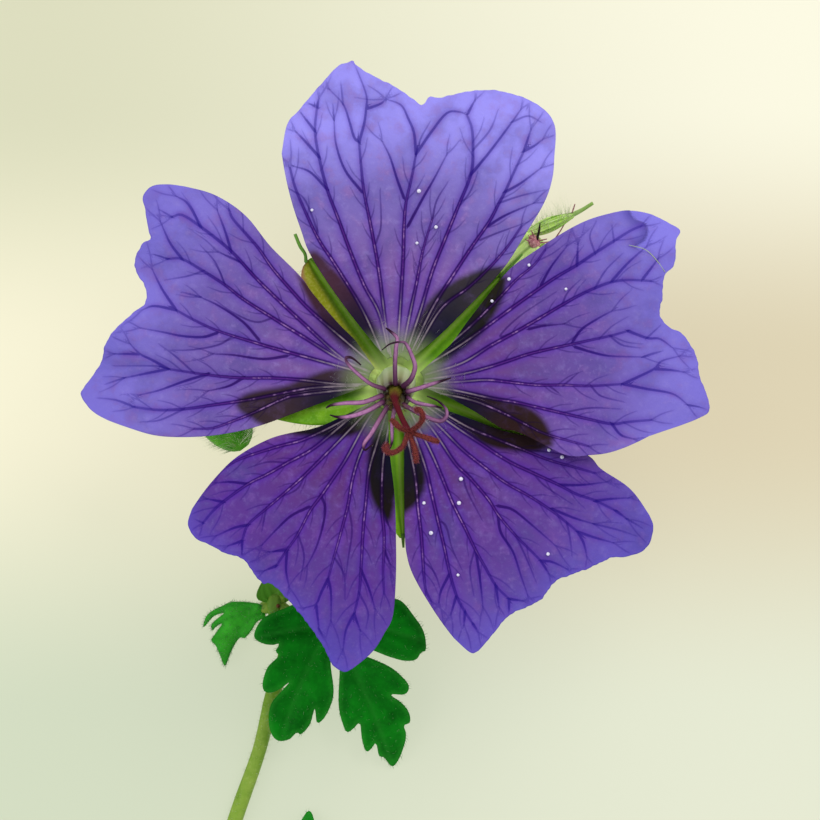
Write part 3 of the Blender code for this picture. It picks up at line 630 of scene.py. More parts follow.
# %% Vein lines
VEINS = {
    "petal_top": {
        "main": [
            [(379, 313), (364, 285), (349, 248), (338, 218), (327, 189), (319, 157), (315, 131), (317, 107)],
            [(386, 327), (379, 272), (371, 227), (364, 192), (361, 165), (359, 142)],
            [(399, 327), (403, 263), (404, 227), (406, 203), (412, 176), (416, 154)],
            [(421, 309), (432, 272), (445, 239), (458, 207), (471, 174), (473, 150), (472, 129), (467, 115)],
            [(432, 309), (452, 277), (471, 248), (489, 222), (499, 203), (505, 192), (514, 172), (524, 151)],
            [(362, 309), (336, 266), (319, 240), (305, 211), (295, 187), (290, 168)],
            [(441, 309), (469, 287), (491, 266), (508, 246), (521, 227)],
            [(411, 309), (417, 281), (423, 250), (432, 220)]],
        "forks": [
            [(327, 189), (310, 172), (293, 166)], [(319, 157), (303, 139), (296, 132)],
            [(315, 131), (301, 113)], [(317, 107), (310, 104)], [(317, 107), (319, 98)],
            [(359, 142), (354, 137), (349, 120), (343, 104), (329, 89)],
            [(359, 142), (364, 124), (366, 109), (366, 94), (355, 65)],
            [(366, 109), (380, 104), (386, 99)],
            [(362, 192), (345, 170), (336, 144), (334, 120)],
            [(416, 154), (414, 133), (408, 118), (401, 105), (386, 99)],
            [(416, 154), (432, 131), (447, 113), (460, 112), (467, 115)],
            [(404, 198), (397, 179), (390, 157), (382, 141)],
            [(408, 226), (423, 198), (434, 179), (447, 154)],
            [(467, 115), (475, 100)], [(471, 174), (488, 154), (512, 122), (521, 109)],
            [(505, 192), (521, 183), (541, 168)], [(524, 151), (534, 146), (543, 139)],
            [(524, 151), (531, 129)], [(488, 226), (506, 215), (534, 203)]],
        "faint": [
            [(376, 243), (381, 225), (380, 190)], [(343, 104), (341, 84)], [(334, 120), (333, 105)],
            [(473, 150), (490, 130), (498, 110)], [(456, 210), (470, 192), (478, 172)],
            [(432, 220), (437, 200), (448, 182)], [(318, 232), (305, 200), (292, 190)],
            [(416, 154), (421, 138), (430, 122)], [(512, 122), (528, 116), (541, 122)],
            [(499, 203), (520, 196), (545, 190)], [(480, 240), (500, 232), (528, 222)]],
    },
    "petal_left": {
        "main": [
            [(356, 350), (312, 312), (292, 291), (273, 269), (259, 249), (247, 235), (233, 219), (229, 210)],
            [(342, 358), (302, 322), (273, 295), (253, 275), (231, 251), (201, 227), (182, 215), (172, 217)],
            [(338, 358), (302, 336), (273, 318), (243, 299), (225, 285), (203, 271), (182, 259), (168, 259)],
            [(352, 370), (302, 356), (273, 348), (253, 342), (233, 336), (213, 329), (194, 320), (176, 310)],
            [(338, 384), (302, 380), (273, 378), (243, 378), (217, 376), (194, 373), (168, 369)],
            [(312, 388), (273, 395), (247, 400), (213, 405), (184, 409), (158, 410), (134, 407)],
            [(300, 395), (283, 399), (253, 413), (233, 421), (213, 428), (194, 429)]],
        "forks": [
            [(231, 251), (225, 231), (217, 210)], [(182, 259), (170, 243), (160, 221)],
            [(176, 310), (162, 289), (152, 269)], [(176, 310), (154, 306), (142, 310)],
            [(259, 340), (243, 322), (219, 306), (200, 297)],
            [(217, 333), (203, 337), (182, 336), (162, 332), (140, 328)],
            [(287, 356), (263, 359), (233, 355), (213, 354)],
            [(168, 369), (152, 360), (140, 354), (130, 344)], [(140, 354), (114, 354)],
            [(168, 369), (124, 378)], [(243, 378), (229, 386), (208, 391)],
            [(208, 374), (185, 381), (160, 390), (140, 395)], [(201, 227), (188, 204), (176, 196)],
            [(253, 275), (240, 262), (218, 252)]],
        "faint": [
            [(168, 369), (154, 366), (114, 366)], [(273, 318), (255, 322), (232, 312), (215, 300)],
            [(203, 271), (188, 276), (165, 280)], [(172, 217), (160, 210)], [(168, 259), (155, 255)],
            [(233, 336), (218, 345), (190, 350), (165, 350)], [(184, 409), (160, 420), (140, 422)],
            [(134, 407), (115, 400), (98, 398)], [(124, 378), (106, 384)], [(200, 297), (182, 292)],
            [(194, 373), (175, 356), (160, 345)], [(225, 285), (215, 262), (200, 245)]],
    },
    "petal_lower_left": {
        "main": [
            [(344, 420), (305, 439), (280, 446), (251, 455), (234, 462), (221, 471)],
            [(348, 420), (314, 448), (287, 463), (266, 475), (248, 484), (223, 502), (212, 512), (203, 523)],
            [(359, 420), (332, 448), (305, 475), (287, 491), (266, 509), (248, 525), (242, 541)],
            [(367, 421), (346, 459), (332, 480), (321, 496), (310, 511), (298, 534), (287, 550), (276, 566)],
            [(376, 427), (362, 450), (353, 477), (348, 505), (341, 532), (334, 557), (328, 579)],
            [(376, 446), (369, 471), (366, 500), (363, 532), (361, 570), (359, 593), (354, 614)],
            [(384, 454), (382, 480), (382, 511), (384, 532), (384, 550), (383, 571), (384, 593)]],
        "forks": [
            [(248, 484), (230, 482), (216, 483)], [(223, 502), (207, 499)],
            [(248, 525), (234, 528), (216, 536)], [(242, 541), (228, 546)], [(242, 541), (242, 554)],
            [(287, 550), (269, 552)], [(276, 566), (264, 571)], [(287, 550), (286, 570), (289, 587)],
            [(321, 496), (325, 507), (323, 525), (316, 548), (307, 566)],
            [(309, 507), (291, 516), (276, 530), (262, 545)],
            [(328, 579), (321, 593), (316, 604), (305, 608)], [(316, 604), (319, 629)],
            [(328, 579), (331, 593), (331, 621)], [(354, 614), (346, 630), (343, 650)],
            [(354, 614), (360, 630)], [(361, 570), (369, 589), (375, 609)],
            [(384, 550), (390, 564)], [(383, 511), (390, 529)]],
        "faint": [
            [(348, 505), (352, 530), (348, 560), (344, 590)], [(334, 557), (344, 575), (345, 600)],
            [(298, 534), (304, 556), (300, 580)], [(287, 463), (268, 462), (248, 468)],
            [(305, 475), (296, 490), (272, 500)], [(203, 523), (196, 520)], [(266, 509), (262, 530)],
            [(359, 593), (368, 612), (366, 628)], [(319, 629), (324, 640)]],
    },
    "petal_lower_right": {
        "main": [
            [(415, 475), (418, 508), (421, 533), (423, 561), (424, 576), (426, 591), (431, 601)],
            [(425, 466), (431, 491), (438, 521), (444, 546), (450, 574), (457, 597), (465, 612), (473, 624)],
            [(430, 450), (441, 475), (453, 504), (465, 528), (475, 549), (485, 567), (496, 586), (509, 599)],
            [(435, 433), (455, 463), (470, 478), (488, 499), (499, 516), (516, 536), (529, 549), (541, 561)],
            [(443, 430), (463, 450), (483, 466), (506, 483), (529, 496), (552, 511), (567, 523), (578, 532)],
            [(453, 425), (480, 443), (508, 461), (533, 473), (559, 485), (576, 494), (596, 501), (616, 511)],
            [(466, 426), (499, 440), (524, 450), (549, 460), (574, 467), (594, 473)]],
        "forks": [
            [(473, 624), (478, 632)], [(449, 575), (441, 591), (439, 602)], [(456, 597), (451, 614)],
            [(465, 612), (464, 625)], [(509, 599), (523, 601)], [(509, 599), (509, 614)],
            [(496, 586), (499, 607)], [(476, 552), (480, 579), (483, 607)],
            [(541, 561), (552, 562), (567, 569)], [(541, 561), (549, 574)],
            [(498, 516), (501, 533), (513, 552), (521, 576), (528, 596)],
            [(498, 506), (513, 510), (533, 526), (556, 546)], [(578, 532), (596, 538), (614, 543)],
            [(578, 532), (584, 544), (587, 557)], [(552, 509), (574, 518), (594, 524)],
            [(559, 485), (582, 485), (607, 482)], [(596, 501), (611, 499), (629, 498)],
            [(616, 511), (627, 519)]],
        "faint": [
            [(463, 478), (468, 493), (482, 520)], [(438, 521), (446, 526), (452, 548), (462, 570)],
            [(423, 561), (434, 572), (441, 591)], [(567, 523), (570, 538), (572, 555)],
            [(533, 473), (545, 486), (572, 504)], [(594, 524), (618, 530), (636, 536)],
            [(475, 549), (470, 570), (474, 596)], [(524, 450), (550, 452), (574, 457)],
            [(516, 536), (528, 562), (536, 582)], [(627, 519), (642, 528)]],
    },
    "petal_right": {
        "main": [
            [(453, 341), (477, 320), (499, 298), (517, 279), (534, 265), (545, 250)],
            [(462, 344), (490, 324), (516, 305), (540, 288), (558, 276), (577, 265), (595, 253),
             (614, 241), (630, 231), (641, 226)],
            [(462, 363), (490, 346), (514, 333), (540, 318), (562, 305), (578, 296), (595, 288),
             (612, 282), (628, 280), (651, 281)],
            [(462, 374), (486, 368), (508, 361), (529, 354), (554, 348), (573, 344), (591, 340),
             (610, 336), (628, 331)],
            [(455, 382), (486, 380), (508, 382), (536, 385), (564, 385), (591, 386), (623, 384)],
            [(453, 390), (490, 398), (514, 402), (536, 407), (562, 413), (588, 419), (612, 424),
             (628, 422), (651, 420)],
            [(471, 400), (499, 411), (521, 422), (543, 433), (566, 440), (588, 446)]],
        "forks": [
            [(541, 285), (551, 267), (567, 246)], [(577, 264), (578, 244)],
            [(612, 281), (628, 263), (647, 246)], [(643, 279), (658, 259)],
            [(529, 329), (543, 326), (564, 324)], [(573, 341), (582, 329), (599, 318), (612, 311)],
            [(575, 347), (591, 352), (610, 356), (643, 357)],
            [(628, 331), (647, 338), (660, 339), (673, 348)],
            [(623, 384), (638, 377), (654, 369), (662, 361), (680, 356)],
            [(654, 369), (670, 370), (684, 372)], [(623, 384), (647, 389), (673, 394), (688, 405)],
            [(612, 424), (621, 435), (634, 439)]],
        "faint": [
            [(564, 385), (577, 374)], [(591, 386), (601, 396), (624, 402)], [(548, 385), (560, 394)],
            [(595, 253), (590, 236), (596, 222)], [(614, 241), (612, 226)],
            [(562, 305), (568, 292), (580, 280)],
            [(643, 357), (660, 352)], [(647, 338), (660, 326)], [(610, 336), (622, 345), (640, 348)],
            [(562, 413), (590, 408), (620, 409)], [(595, 288), (606, 270), (622, 254)],
            [(514, 333), (500, 336), (520, 316), (556, 292)], [(688, 405), (700, 407)]],
    },
}
VEIN_HALF_WIDTHS = {"main": (3.0, 1.3), "forks": (1.7, 0.7), "faint": (1.1, 0.65), "twigs": (0.8, 0.55)}
for name, veins in VEINS.items():
    print(name, "has", sum(len(lines) for lines in veins.values()), "vein lines")

# %% Distance from a vein
VEIN_ROOT_REACH = 0.55
FAR_ASIDE = 9


def pixels_of(places):
    """Give the pixel at which the camera would see each place."""
    scale = scale_at(places[..., 2])
    return np.stack([PICTURE_MIDDLE[0] + (places[..., 0] - CAMERA_X) / scale,
                     PICTURE_MIDDLE[1] - (places[..., 1] - CAMERA_Y) / scale], -1)


def beside_veins(pixels, lines, kind):
    """Give each pixel's side distance from the nearest vein, in half widths, and that vein's ink."""
    flat = pixels.reshape(-1, 2)
    best = np.full(len(flat), 1e9)
    side = np.full(len(flat), float(FAR_ASIDE))
    ink = np.zeros(len(flat))
    widths = np.ones(len(flat))
    thick, thin = VEIN_HALF_WIDTHS[kind]
    fading = 0.3 if kind == "main" else 0.5
    for line in lines:
        knots = [np.array(point, float) for point in line]
        if kind == "main":
            knots.insert(0, knots[0] + (np.array(BLOOM_AXIS_PIXEL) - knots[0]) * VEIN_ROOT_REACH)
        route = smooth_line(knots, 6)
        parts = len(route) - 1
        for number, (start, end) in enumerate(zip(route[:-1], route[1:])):
            share = number / parts
            half = thick + (thin - thick) * share
            strength = 1 - fading * max(0, share - 0.5) / 0.5
            along = end - start
            offset = flat - start
            foot = np.clip(offset @ along / max(along @ along, 1e-9), 0, 1)
            distance = np.linalg.norm(offset - foot[:, None] * along, axis=1)
            turn = np.sign(along[0] * offset[:, 1] - along[1] * offset[:, 0])
            nearer = distance < best
            best = np.where(nearer, distance, best)
            side = np.where(nearer, turn * distance / half, side)
            ink = np.where(nearer, strength, ink)
            widths = np.where(nearer, half, widths)
    near_ink = ink * (1 - ramp(best, widths + 0.8, widths + 2.4))
    blush = ink * np.exp(-(best / (widths * 2.6)) ** 2)
    shape = pixels.shape[:2]
    side = np.clip(side, -FAR_ASIDE, FAR_ASIDE)
    return [values.reshape(shape) for values in (side, best, near_ink, blush)]


print("the axis is seen at pixel", pixels_of(np.array([0, 0, PETAL_BASE_HEIGHT])).round(1).tolist())

# %% Twigs
TWIGS = 8
TWIG_ROUTE_STEPS = 60


def side_twigs(lines, number):
    """Grow thin twigs by turns from both sides of each vein, at sharp angles towards the margin."""
    grown = []
    last = TWIG_ROUTE_STEPS - 2
    for line in lines:
        route = spread(smooth_line(np.array(line, float), 6), TWIG_ROUTE_STEPS)
        for twig in range(number):
            step = int(last * (0.25 + 0.7 * (twig + draw.uniform(0.1, 0.9)) / number))
            start = route[step]
            way = unit(route[step + 1] - start)
            side = np.array([-way[1], way[0]]) * (1 if twig % 2 else -1)
            heading = unit(way + side * draw.uniform(0.5, 0.8))
            length = draw.uniform(12, 22) * (0.7 + 1.1 * step / last)
            middle = start + heading * length * 0.5
            end = middle + unit(heading + way * 0.7) * length * 0.5
            grown.append([tuple(start), tuple(middle), tuple(end)])
    return grown


def end_twigs(lines):
    """Carry each vein past its end in two thin twigs that part towards the margin."""
    grown = []
    for line in lines:
        end = np.array(line[-1], float)
        way = unit(end - line[-2])
        for turn in (-0.45, 0.35):
            heading = unit(way + np.array([-way[1], way[0]]) * turn)
            length = draw.uniform(18, 32)
            middle = end + heading * length * 0.5
            tip = middle + unit(heading + way * 0.8) * length * 0.5
            grown.append([tuple(end), tuple(middle), tuple(tip)])
    return grown


print("twigs on a main vein:", TWIGS)

# %% [markdown]
# ## Sepals that show through
# The petals are thin, and where a sepal backs one it holds back the light from below, so its shape
# shows through as a dark shadow with a round end. Lighting it from below would need a slow translucent
# render, so each shadow is painted: it is an outline too, and a point of the petal carries how deep
# inside one it is. Some painted shadows are greenish black, and the ones over the reddish sepal are brown.

# %% Painted sepal shadows
SEPAL_SHADOW_OUTLINES = [
    (1.0, [(300, 256), (314, 250), (326, 259), (342, 276), (354, 292), (362, 306), (378, 338), (340, 340)]),
    (0.1, [(510, 266), (492, 266), (474, 271), (452, 281), (430, 298), (416, 320), (404, 352), (452, 352)]),
    (1.0, [(296, 274), (302, 290), (314, 312), (332, 336), (352, 352), (372, 348), (336, 300)]),
    (0.5, [(235, 406), (240, 396), (256, 390), (284, 385), (304, 377), (334, 368), (364, 372),
           (362, 432), (300, 436), (262, 426), (251, 419), (241, 413)]),
    (0.2, [(376, 428), (368, 450), (367, 478), (371, 498), (379, 512), (392, 518), (402, 440)]),
    (0.2, [(398, 440), (416, 443), (424, 458), (426, 484), (420, 500), (410, 510), (398, 512)]),
    (0.8, [(440, 414), (462, 430), (486, 446), (512, 452), (538, 452), (549, 446), (552, 434), (500, 414)]),
    (0.7, [(440, 390), (472, 392), (504, 399), (528, 406), (544, 419), (552, 436), (548, 448),
           (500, 440), (440, 412)]),
    (0.1, [(508, 276), (505, 294), (497, 312), (482, 334), (462, 350), (436, 364), (428, 336), (480, 280)]),
]


def depth_inside(pixels, border):
    """Give how far each point lies inside a closed border, negative outside it."""
    flat = pixels.reshape(-1, 2)
    nearest = np.full(len(flat), 1e9)
    inside = np.zeros(len(flat), bool)
    for start, end in zip(border[:-1], border[1:]):
        along = end - start
        offset = flat - start
        share = np.clip(offset @ along / max(along @ along, 1e-9), 0, 1)
        nearest = np.minimum(nearest, np.linalg.norm(offset - share[:, None] * along, axis=1))
        spans = (start[1] > flat[:, 1]) != (end[1] > flat[:, 1])
        rise = along[1] if abs(along[1]) > 1e-9 else 1e-9
        inside ^= spans & (flat[:, 0] < start[0] + (flat[:, 1] - start[1]) / rise * along[0])
    return np.where(inside, nearest, -nearest).reshape(pixels.shape[:-1])


def sepal_shadow_marks(pixels):
    """Give each pixel the strength and the brownness of the painted sepal shadow over it."""
    strength = np.zeros(pixels.shape[:2])
    rust = np.zeros(pixels.shape[:2])
    for brown, outline in SEPAL_SHADOW_OUTLINES:
        border = closed_line(outline, 4)
        stain = ramp(depth_inside(pixels, border), -3.5, 5)
        rust = np.where(stain > strength, brown, rust)
        strength = np.maximum(strength, stain)
    return strength, rust


print("painted_shadows:", len(SEPAL_SHADOW_OUTLINES))

# %% [markdown]
# ## The petals' finish
# From the root outward a petal runs from greenish white through dusky mauve to periwinkle, mottled all
# over, and the two lower petals are drawn deeper and darker, as painted shade. The veins are dark
# violet, drawn in ink that fades towards their tips. Near the root each main vein is two dark lines with
# a pale thread between them.

# %% Petal tissue
def mottled_tissue(skin, reach, depth, clouds, patches, blots, grain):
    """Mottle the tissue from dusky mauve near the root to periwinkle at the margin."""
    pale = skin.mix(reach.ramp(0.12, 0.6), paint("7e5a9a"), paint("7868b2"))
    pale = skin.mix(reach.ramp(0.55, 0.95), pale, paint("978fea"))
    deep = skin.mix(reach.ramp(0.12, 0.6), paint("5c3470"), paint("5a3688"))
    deep = skin.mix(reach.ramp(0.6, 1.0), deep, paint("5a48a6"))
    # Painted shade: depth darkens whole petals, most the two lower ones.
    tissue = skin.mix(depth, pale, deep)
    inner = 1 - reach.ramp(0.6, 1.0) * 0.4
    tissue = skin.mix(clouds.ramp(0.42, 0.7) * inner * 0.6, tissue, paint("4c4488"))
    pink = skin.mix(depth, paint("9a72b4"), paint("74489a"))
    tissue = skin.mix(patches.ramp(0.48, 0.72) * inner * 0.5, tissue, pink)
    tissue = skin.mix(blots.ramp(0.5, 0.8) * (1 - depth * 0.6) * 0.32, tissue, paint("9a8ccc"))
    tissue = skin.mix(grain.ramp(0.5, 0.85) * (1 - depth * 0.5) * 0.2, tissue, paint("aaa2e8"))
    rim = skin.mix(depth, paint("958eee"), paint("5c52c4"))
    tissue = skin.mix(skin.mark("rim") * 0.5, tissue, rim)
    tissue = skin.mix(skin.mark("flap") * 0.4, tissue, paint("8c86ec"))
    # Painted shade along the crease before the right petal's fold; the folded flap itself is drawn a little
    # paler.
    return skin.mix(skin.mark("lip") * 0.6, tissue, paint("30227e"))


def shaded_tissue(skin, tissue, depth, near_axis, patches):
    """Blush the tissue by the veins, paint sepal shadows and root shade on it, and let its root glow green.
    """
    tissue = skin.mix(skin.mark("blush") * near_axis.ramp(0.4, 0.8) * 0.5, tissue, paint("5018a4"))
    # Painted shadow of the sepals behind the thin petal: greenish black, and brown over the reddish sepal.
    sepal_shadow_colour = skin.mix(skin.mark("rust"), paint("262a12"), paint("3e2220"))
    sepal_shadow_colour = skin.mix(depth * 0.8, sepal_shadow_colour, paint("120a10"))
    shadowed = skin.mark("stain") * (near_axis.ramp(0.3, 0.7) * 0.32 + depth * 0.12 + 0.6)
    tissue = skin.mix(shadowed * (1 - patches.ramp(0.45, 0.8) * 0.16), tissue, sepal_shadow_colour)
    root_shade = near_axis.ramp(0.3, 0.55) * (1 - near_axis.ramp(0.7, 1.25)) * skin.mark("flank")
    tissue = skin.mix(root_shade * 0.8, tissue, paint("10122a"))
    glow = 1 - near_axis.ramp(0.24, 0.66)
    return skin.mix(glow * 0.9, tissue, paint("86a054")), shadowed

print("the margin's colour is", [round(part, 2) for part in paint("978fea")[:3]])

# %% Petal veins and finish
VEIN_INKS = (("twigs", 0.45, 1.6), ("faint", 0.62, 1.5), ("forks", 0.88, 1.3), ("main", 0.96, 1.2))


def vein_middle(skin, tissue, shadowed, near_axis, patches, grain):
    """Draw the paler channel, the broken glints and the pale thread along each main vein's middle."""
    aside = abs(skin.mark("main_aside"))
    middle = (1 - aside.ramp(0.1, 0.42)) * skin.mark("main_ink")
    channel = middle * near_axis.ramp(0.7, 1.1) * (1 - near_axis.ramp(1.6, 2.4))
    tissue = skin.mix(channel * (1 - shadowed * 0.7) * 0.4, tissue, paint("6c3496"))
    glints = near_axis.ramp(0.75, 1.0) * (1 - near_axis.ramp(1.4, 2.1)) * patches.ramp(0.46, 0.62)
    glints = middle * glints * (grain.ramp(0.4, 0.6) * 0.4 + 0.12)
    tissue = skin.mix(glints, tissue, paint("b48ac0"))
    thread = middle * (1 - near_axis.ramp(0.6, 1.05)) * (patches.ramp(0.35, 0.6) * 0.35 + 0.2)
    return skin.mix(thread, tissue, paint("b5a5ac"))


def petal_finish():
    """Make the violet finish that all five petals share."""
    skin = Finish("petal_violet", roughness=0.55, specular=0.04)
    reach = skin.mark("reach")
    depth = skin.mark("depth")
    near_axis = skin.mark("near_axis")
    clouds = skin.noise(2.4, 4.0, 0.62)
    patches = skin.noise(1.2, 4.0, 0.6)
    blots = skin.noise(0.8, 3.0, 0.6)
    grain = skin.noise(0.3, 3.0, 0.6)
    tissue = mottled_tissue(skin, reach, depth, clouds, patches, blots, grain)
    tissue, shadowed = shaded_tissue(skin, tissue, depth, near_axis, patches)
    vein_colour = skin.mix(reach.ramp(0.35, 0.95), paint("28055a"), paint("1c0f7e"))
    # The veins darken too inside the painted sepal shadows.
    vein_colour = skin.mix(shadowed * 0.8, vein_colour, paint("12060f"))
    fading = (near_axis.ramp(0.42, 0.8) * 0.85 + 0.15) * (1 - reach.ramp(0.5, 0.95) * 0.3)
    bumps = grain * 0.3 + blots * 0.5 + patches * 1.2 + clouds * 1.4
    for kind, strength, blur in VEIN_INKS:
        aside = abs(skin.mark(kind + "_aside"))
        line = (1 - aside.ramp(0.5, blur)) * skin.mark(kind + "_ink") * fading * strength
        tissue = skin.mix(line, tissue, vein_colour)
        bumps = bumps - line * 0.5
    tissue = vein_middle(skin, tissue, shadowed, near_axis, patches, grain)
    skin.colour(skin.mix(skin.mark("hair") * 0.6, tissue, paint("cdd0c6")))
    skin.rough(0.5 + grain * 0.16)
    skin.relief(bumps, 0.09, 0.5)
    return skin


petal_violet = petal_finish()
print("the petal finish has", len(petal_violet.tree.nodes), "nodes")

# %% [markdown]
# ## Building the petals
# With outline, veins and painted sepal shadows at hand, each petal is one closed thin blade. The veins sit
# a little below the tissue between them, which gives the quilted look of the real petal in raking light.
# Fine white hairs stand at the base, where the petal meets the stamens. The right petal's upper corner is
# folded down a little, with painted shade along the crease, and a pale thread lies before the fold.

# %% Marks of a petal
FOLD = [(628, 205), (634, 218), (645, 223), (648, 231), (644, 240), (636, 247), (648, 256), (668, 256),
        (690, 232), (680, 215), (650, 205)]
FOLD_END = (238, 258)
FOLD_DROP = 0.45
THREAD_ON_PETAL = [(629, 245), (646, 250), (658, 262), (665, 272)]


def fold_marks(pixels):
    """Give the flap at the right petal's margin that is folded down, and the painted shade along the crease
    before it.
    """
    beyond = depth_inside(pixels, closed_line(FOLD, 4))
    open_end = 1 - ramp(pixels[..., 1], *FOLD_END)
    flap = ramp(beyond, -1, 1)
    return {"flap": flap * open_end, "lip": np.exp(-(beyond / 9) ** 2) * (1 - flap) * open_end}


def petal_marks(name, petal, pixels, across, out):
    """Work out everything that the finish reads at the points of a petal."""
    marks = {}
    main, forks = VEINS[name]["main"], VEINS[name]["forks"]
    starts = [fork[0] for fork in forks]
    open_ends = [line for line in main + forks if line[-1] not in starts]
    lines = dict(VEINS[name], twigs=side_twigs(main, TWIGS) + end_twigs(open_ends))
    nearest = np.full(pixels.shape[:2], 1e9)
    blush = np.zeros(pixels.shape[:2])
    for kind, weight in (("main", 1.0), ("forks", 0.75), ("faint", 0.4), ("twigs", 0.3)):
        aside, distance, ink, halo = beside_veins(pixels, lines[kind], kind)
        marks[kind + "_aside"] = aside
        marks[kind + "_ink"] = ink * (1 - ramp(out, 0.975, 1.0))
        blush = np.maximum(blush, halo * weight)
        if kind != "twigs":
            nearest = np.minimum(nearest, distance)
    from_axis = np.linalg.norm(pixels - np.array(BLOOM_AXIS_PIXEL), axis=-1)
    # Painted sepal shadows, and how brown each one is.
    stain, rust = sepal_shadow_marks(pixels)
    reach = ramp(from_axis, 20, 330)
    # Painted shade: each petal's depth darkens it as a whole, running from its root to its margin.
    inner_painted_shade, outer_painted_shade = petal["depth"]
    marks.update(stain=stain, rust=rust, reach=reach,
                 depth=inner_painted_shade + (outer_painted_shade - inner_painted_shade) * reach,
                 near_axis=from_axis / 100, blush=blush,
                 flank=ramp(np.abs(2 * across - 1), 0.35, 0.95),
                 rim=ramp(out, 0.9, 1.0) * 0.5 + ramp(out, 0.985, 1.0) * 0.5)
    return marks, nearest


print("the fold has", len(FOLD), "points")

# %% Petals
PETAL_ROWS = 165
PETAL_COLUMNS = 165
BASE_HAIRS = 30
for name, petal in PETALS.items():
    places, across, out = petal_grid(petal, PETAL_ROWS, PETAL_COLUMNS)
    pixels = pixels_of(places)
    marks, nearest = petal_marks(name, petal, pixels, across, out)
    height = 0.085 * ramp(nearest, 0, 7) * ramp(out, 0.05, 0.3) * (1 - 0.6 * ramp(out, 0.9, 1)) - 0.08
    if name == "petal_right":
        marks.update(fold_marks(pixels))
        height = height - FOLD_DROP * marks["flap"]
    top = places + UP * height[..., None]
    thickness = PETAL_THICKNESS * (1 - 0.45 * ramp(out, 0.85, 1))
    petal_skin = Skin()
    blade(petal_skin, top, thickness, **marks)
    rows = draw.integers(int(PETAL_ROWS * 0.05), int(PETAL_ROWS * 0.17), BASE_HAIRS)
    columns = draw.integers(2, PETAL_COLUMNS - 2, BASE_HAIRS)
    ways = UP + draw.normal(0, 0.9, (BASE_HAIRS, 3))
    needles(petal_skin, top[rows, columns], ways, draw.uniform(0.4, 0.9, BASE_HAIRS), 0.006, hair=1.0)
    if name == "petal_right":
        thread = seen_line(THREAD_ON_PETAL, PETAL_RIM_HEIGHT + 0.5)
        tube(petal_skin, smooth_line(thread, 8), [0.02, 0.03, 0.02], sides=6, hair=0.6)
    petal_skin.piece(name + "_dressed", petal_violet, "petals", name)

# %% [markdown]
# ## The calyx
# Five sepals back the petals and fill the narrow gaps between them. Each is a boat-shaped green blade
# with a keel, raised nerves and a bristle at its tip, and fine hairs along its margins. A curve with a
# bevel has no nerves, so the sepal is a small grid whose height follows its cross-section. One sepal is
# turned enough to show an olive half and a reddish hood.

# %% The sepals' measures
SEPAL_WIDTH = 4.6
SEPAL_TIP_HEIGHT = 15.5
SEPAL_SHAPE = [(0, 0.4), (0.12, 0.62), (0.3, 0.95), (0.48, 1), (0.66, 0.82), (0.84, 0.5), (0.95, 0.26),
               (1, 0.1)]
HOODED_SHAPE = [(0, 0.4), (0.12, 0.62), (0.3, 0.95), (0.48, 1), (0.66, 0.88), (0.84, 0.7), (0.93, 0.52),
                (0.98, 0.3), (1, 0.06)]
# Each sepal's last number is painted light: the deeper it lies in the petals' shade, the brighter its green
# is drawn.
SEPALS = [{"tip": (309, 259), "bristle": 2.2, "sunk": 0.4},
          {"tip": (503, 274), "bristle": 2.0, "sunk": 0.4},
          {"tip": (237, 403), "bristle": 2.0, "sunk": 0.1},
          {"tip": (548, 443), "bristle": 2.0, "sunk": 0.55},
          {"tip": (403, 538), "bristle": 0.7, "sunk": 0.7}]
SEPAL_ROWS = 54
SEPAL_COLUMNS = 23
SEPAL_HAIRS = 60
RECEPTACLE = [(11.5, 0.45), (11.8, 0.52), (12.2, 0.95), (12.8, 1.45), (13.3, 1.45), (13.5, 1.2)]
HOODED_SEPAL_BRISTLE = [(306, 262, 15.6), (305, 254, 15.9), (300, 246, 16.1), (295, 234, 16.2)]


print("sepals:", len(SEPALS))

# %% Stacked rings and a sepal's blade
def lathe(skin, centres, radii, normal, sides=40, ribs=(0, 0.0), **marks):
    """Stack round or ribbed rings that all face one way, closed at both ends."""
    normal = unit(np.asarray(normal, float))
    side = unit(np.cross(normal, (0.3, 0.9, 0.2)))
    other = np.cross(normal, side)
    angles = np.linspace(0, 2 * np.pi, sides, endpoint=False)
    number, depth = ribs
    rings = []
    for centre, radius in zip(np.asarray(centres, float), radii):
        reach = radius * (1 + depth * np.cos(number * angles))
        rings.append(centre + np.outer(reach * np.cos(angles), side)
                     + np.outer(reach * np.sin(angles), other))
    count = len(rings)
    points = np.vstack([*rings, centres[0], centres[-1]])
    along = np.append(np.repeat(np.linspace(0, 1, count), sides), [0, 1])
    groove = np.append(np.tile(np.cos(number * angles), count), [0, 0])
    skin.add(points, ring_faces(count, sides), along=along, groove=groove, **marks)


def sepal_blade(skin, length, half_width, place, thickness=0.3, shape=SEPAL_SHAPE, **marks):
    """Add one sepal with its keel and nerves, and give its margin's places for the hairs."""
    along = np.linspace(0, 1, SEPAL_ROWS)[:, None]
    across = np.linspace(1, -1, SEPAL_COLUMNS)[None, :]
    shares, widths = zip(*smooth_line(shape, 6))
    half = half_width * np.interp(along, shares, widths)
    nerves = sum(np.exp(-((across - middle) / 0.1) ** 2) for middle in (-0.5, 0, 0.5)) * (1 - along)
    keel = np.exp(-(across / 0.1) ** 2)
    places = place(np.broadcast_to(along * length, (SEPAL_ROWS, SEPAL_COLUMNS)), across * half)
    relief = 0.09 * nerves + 0.1 * across ** 4 * ramp(along, 0.1, 0.5)
    places = places + relief[..., None] * UP
    blade(skin, places, thickness * (1 - 0.5 * np.abs(across) * np.ones_like(along)),
          along=along, across=across, nerve=np.maximum(nerves, keel * 0.8), **marks)
    return places


print("a sepal's grid has", SEPAL_ROWS * SEPAL_COLUMNS, "points")

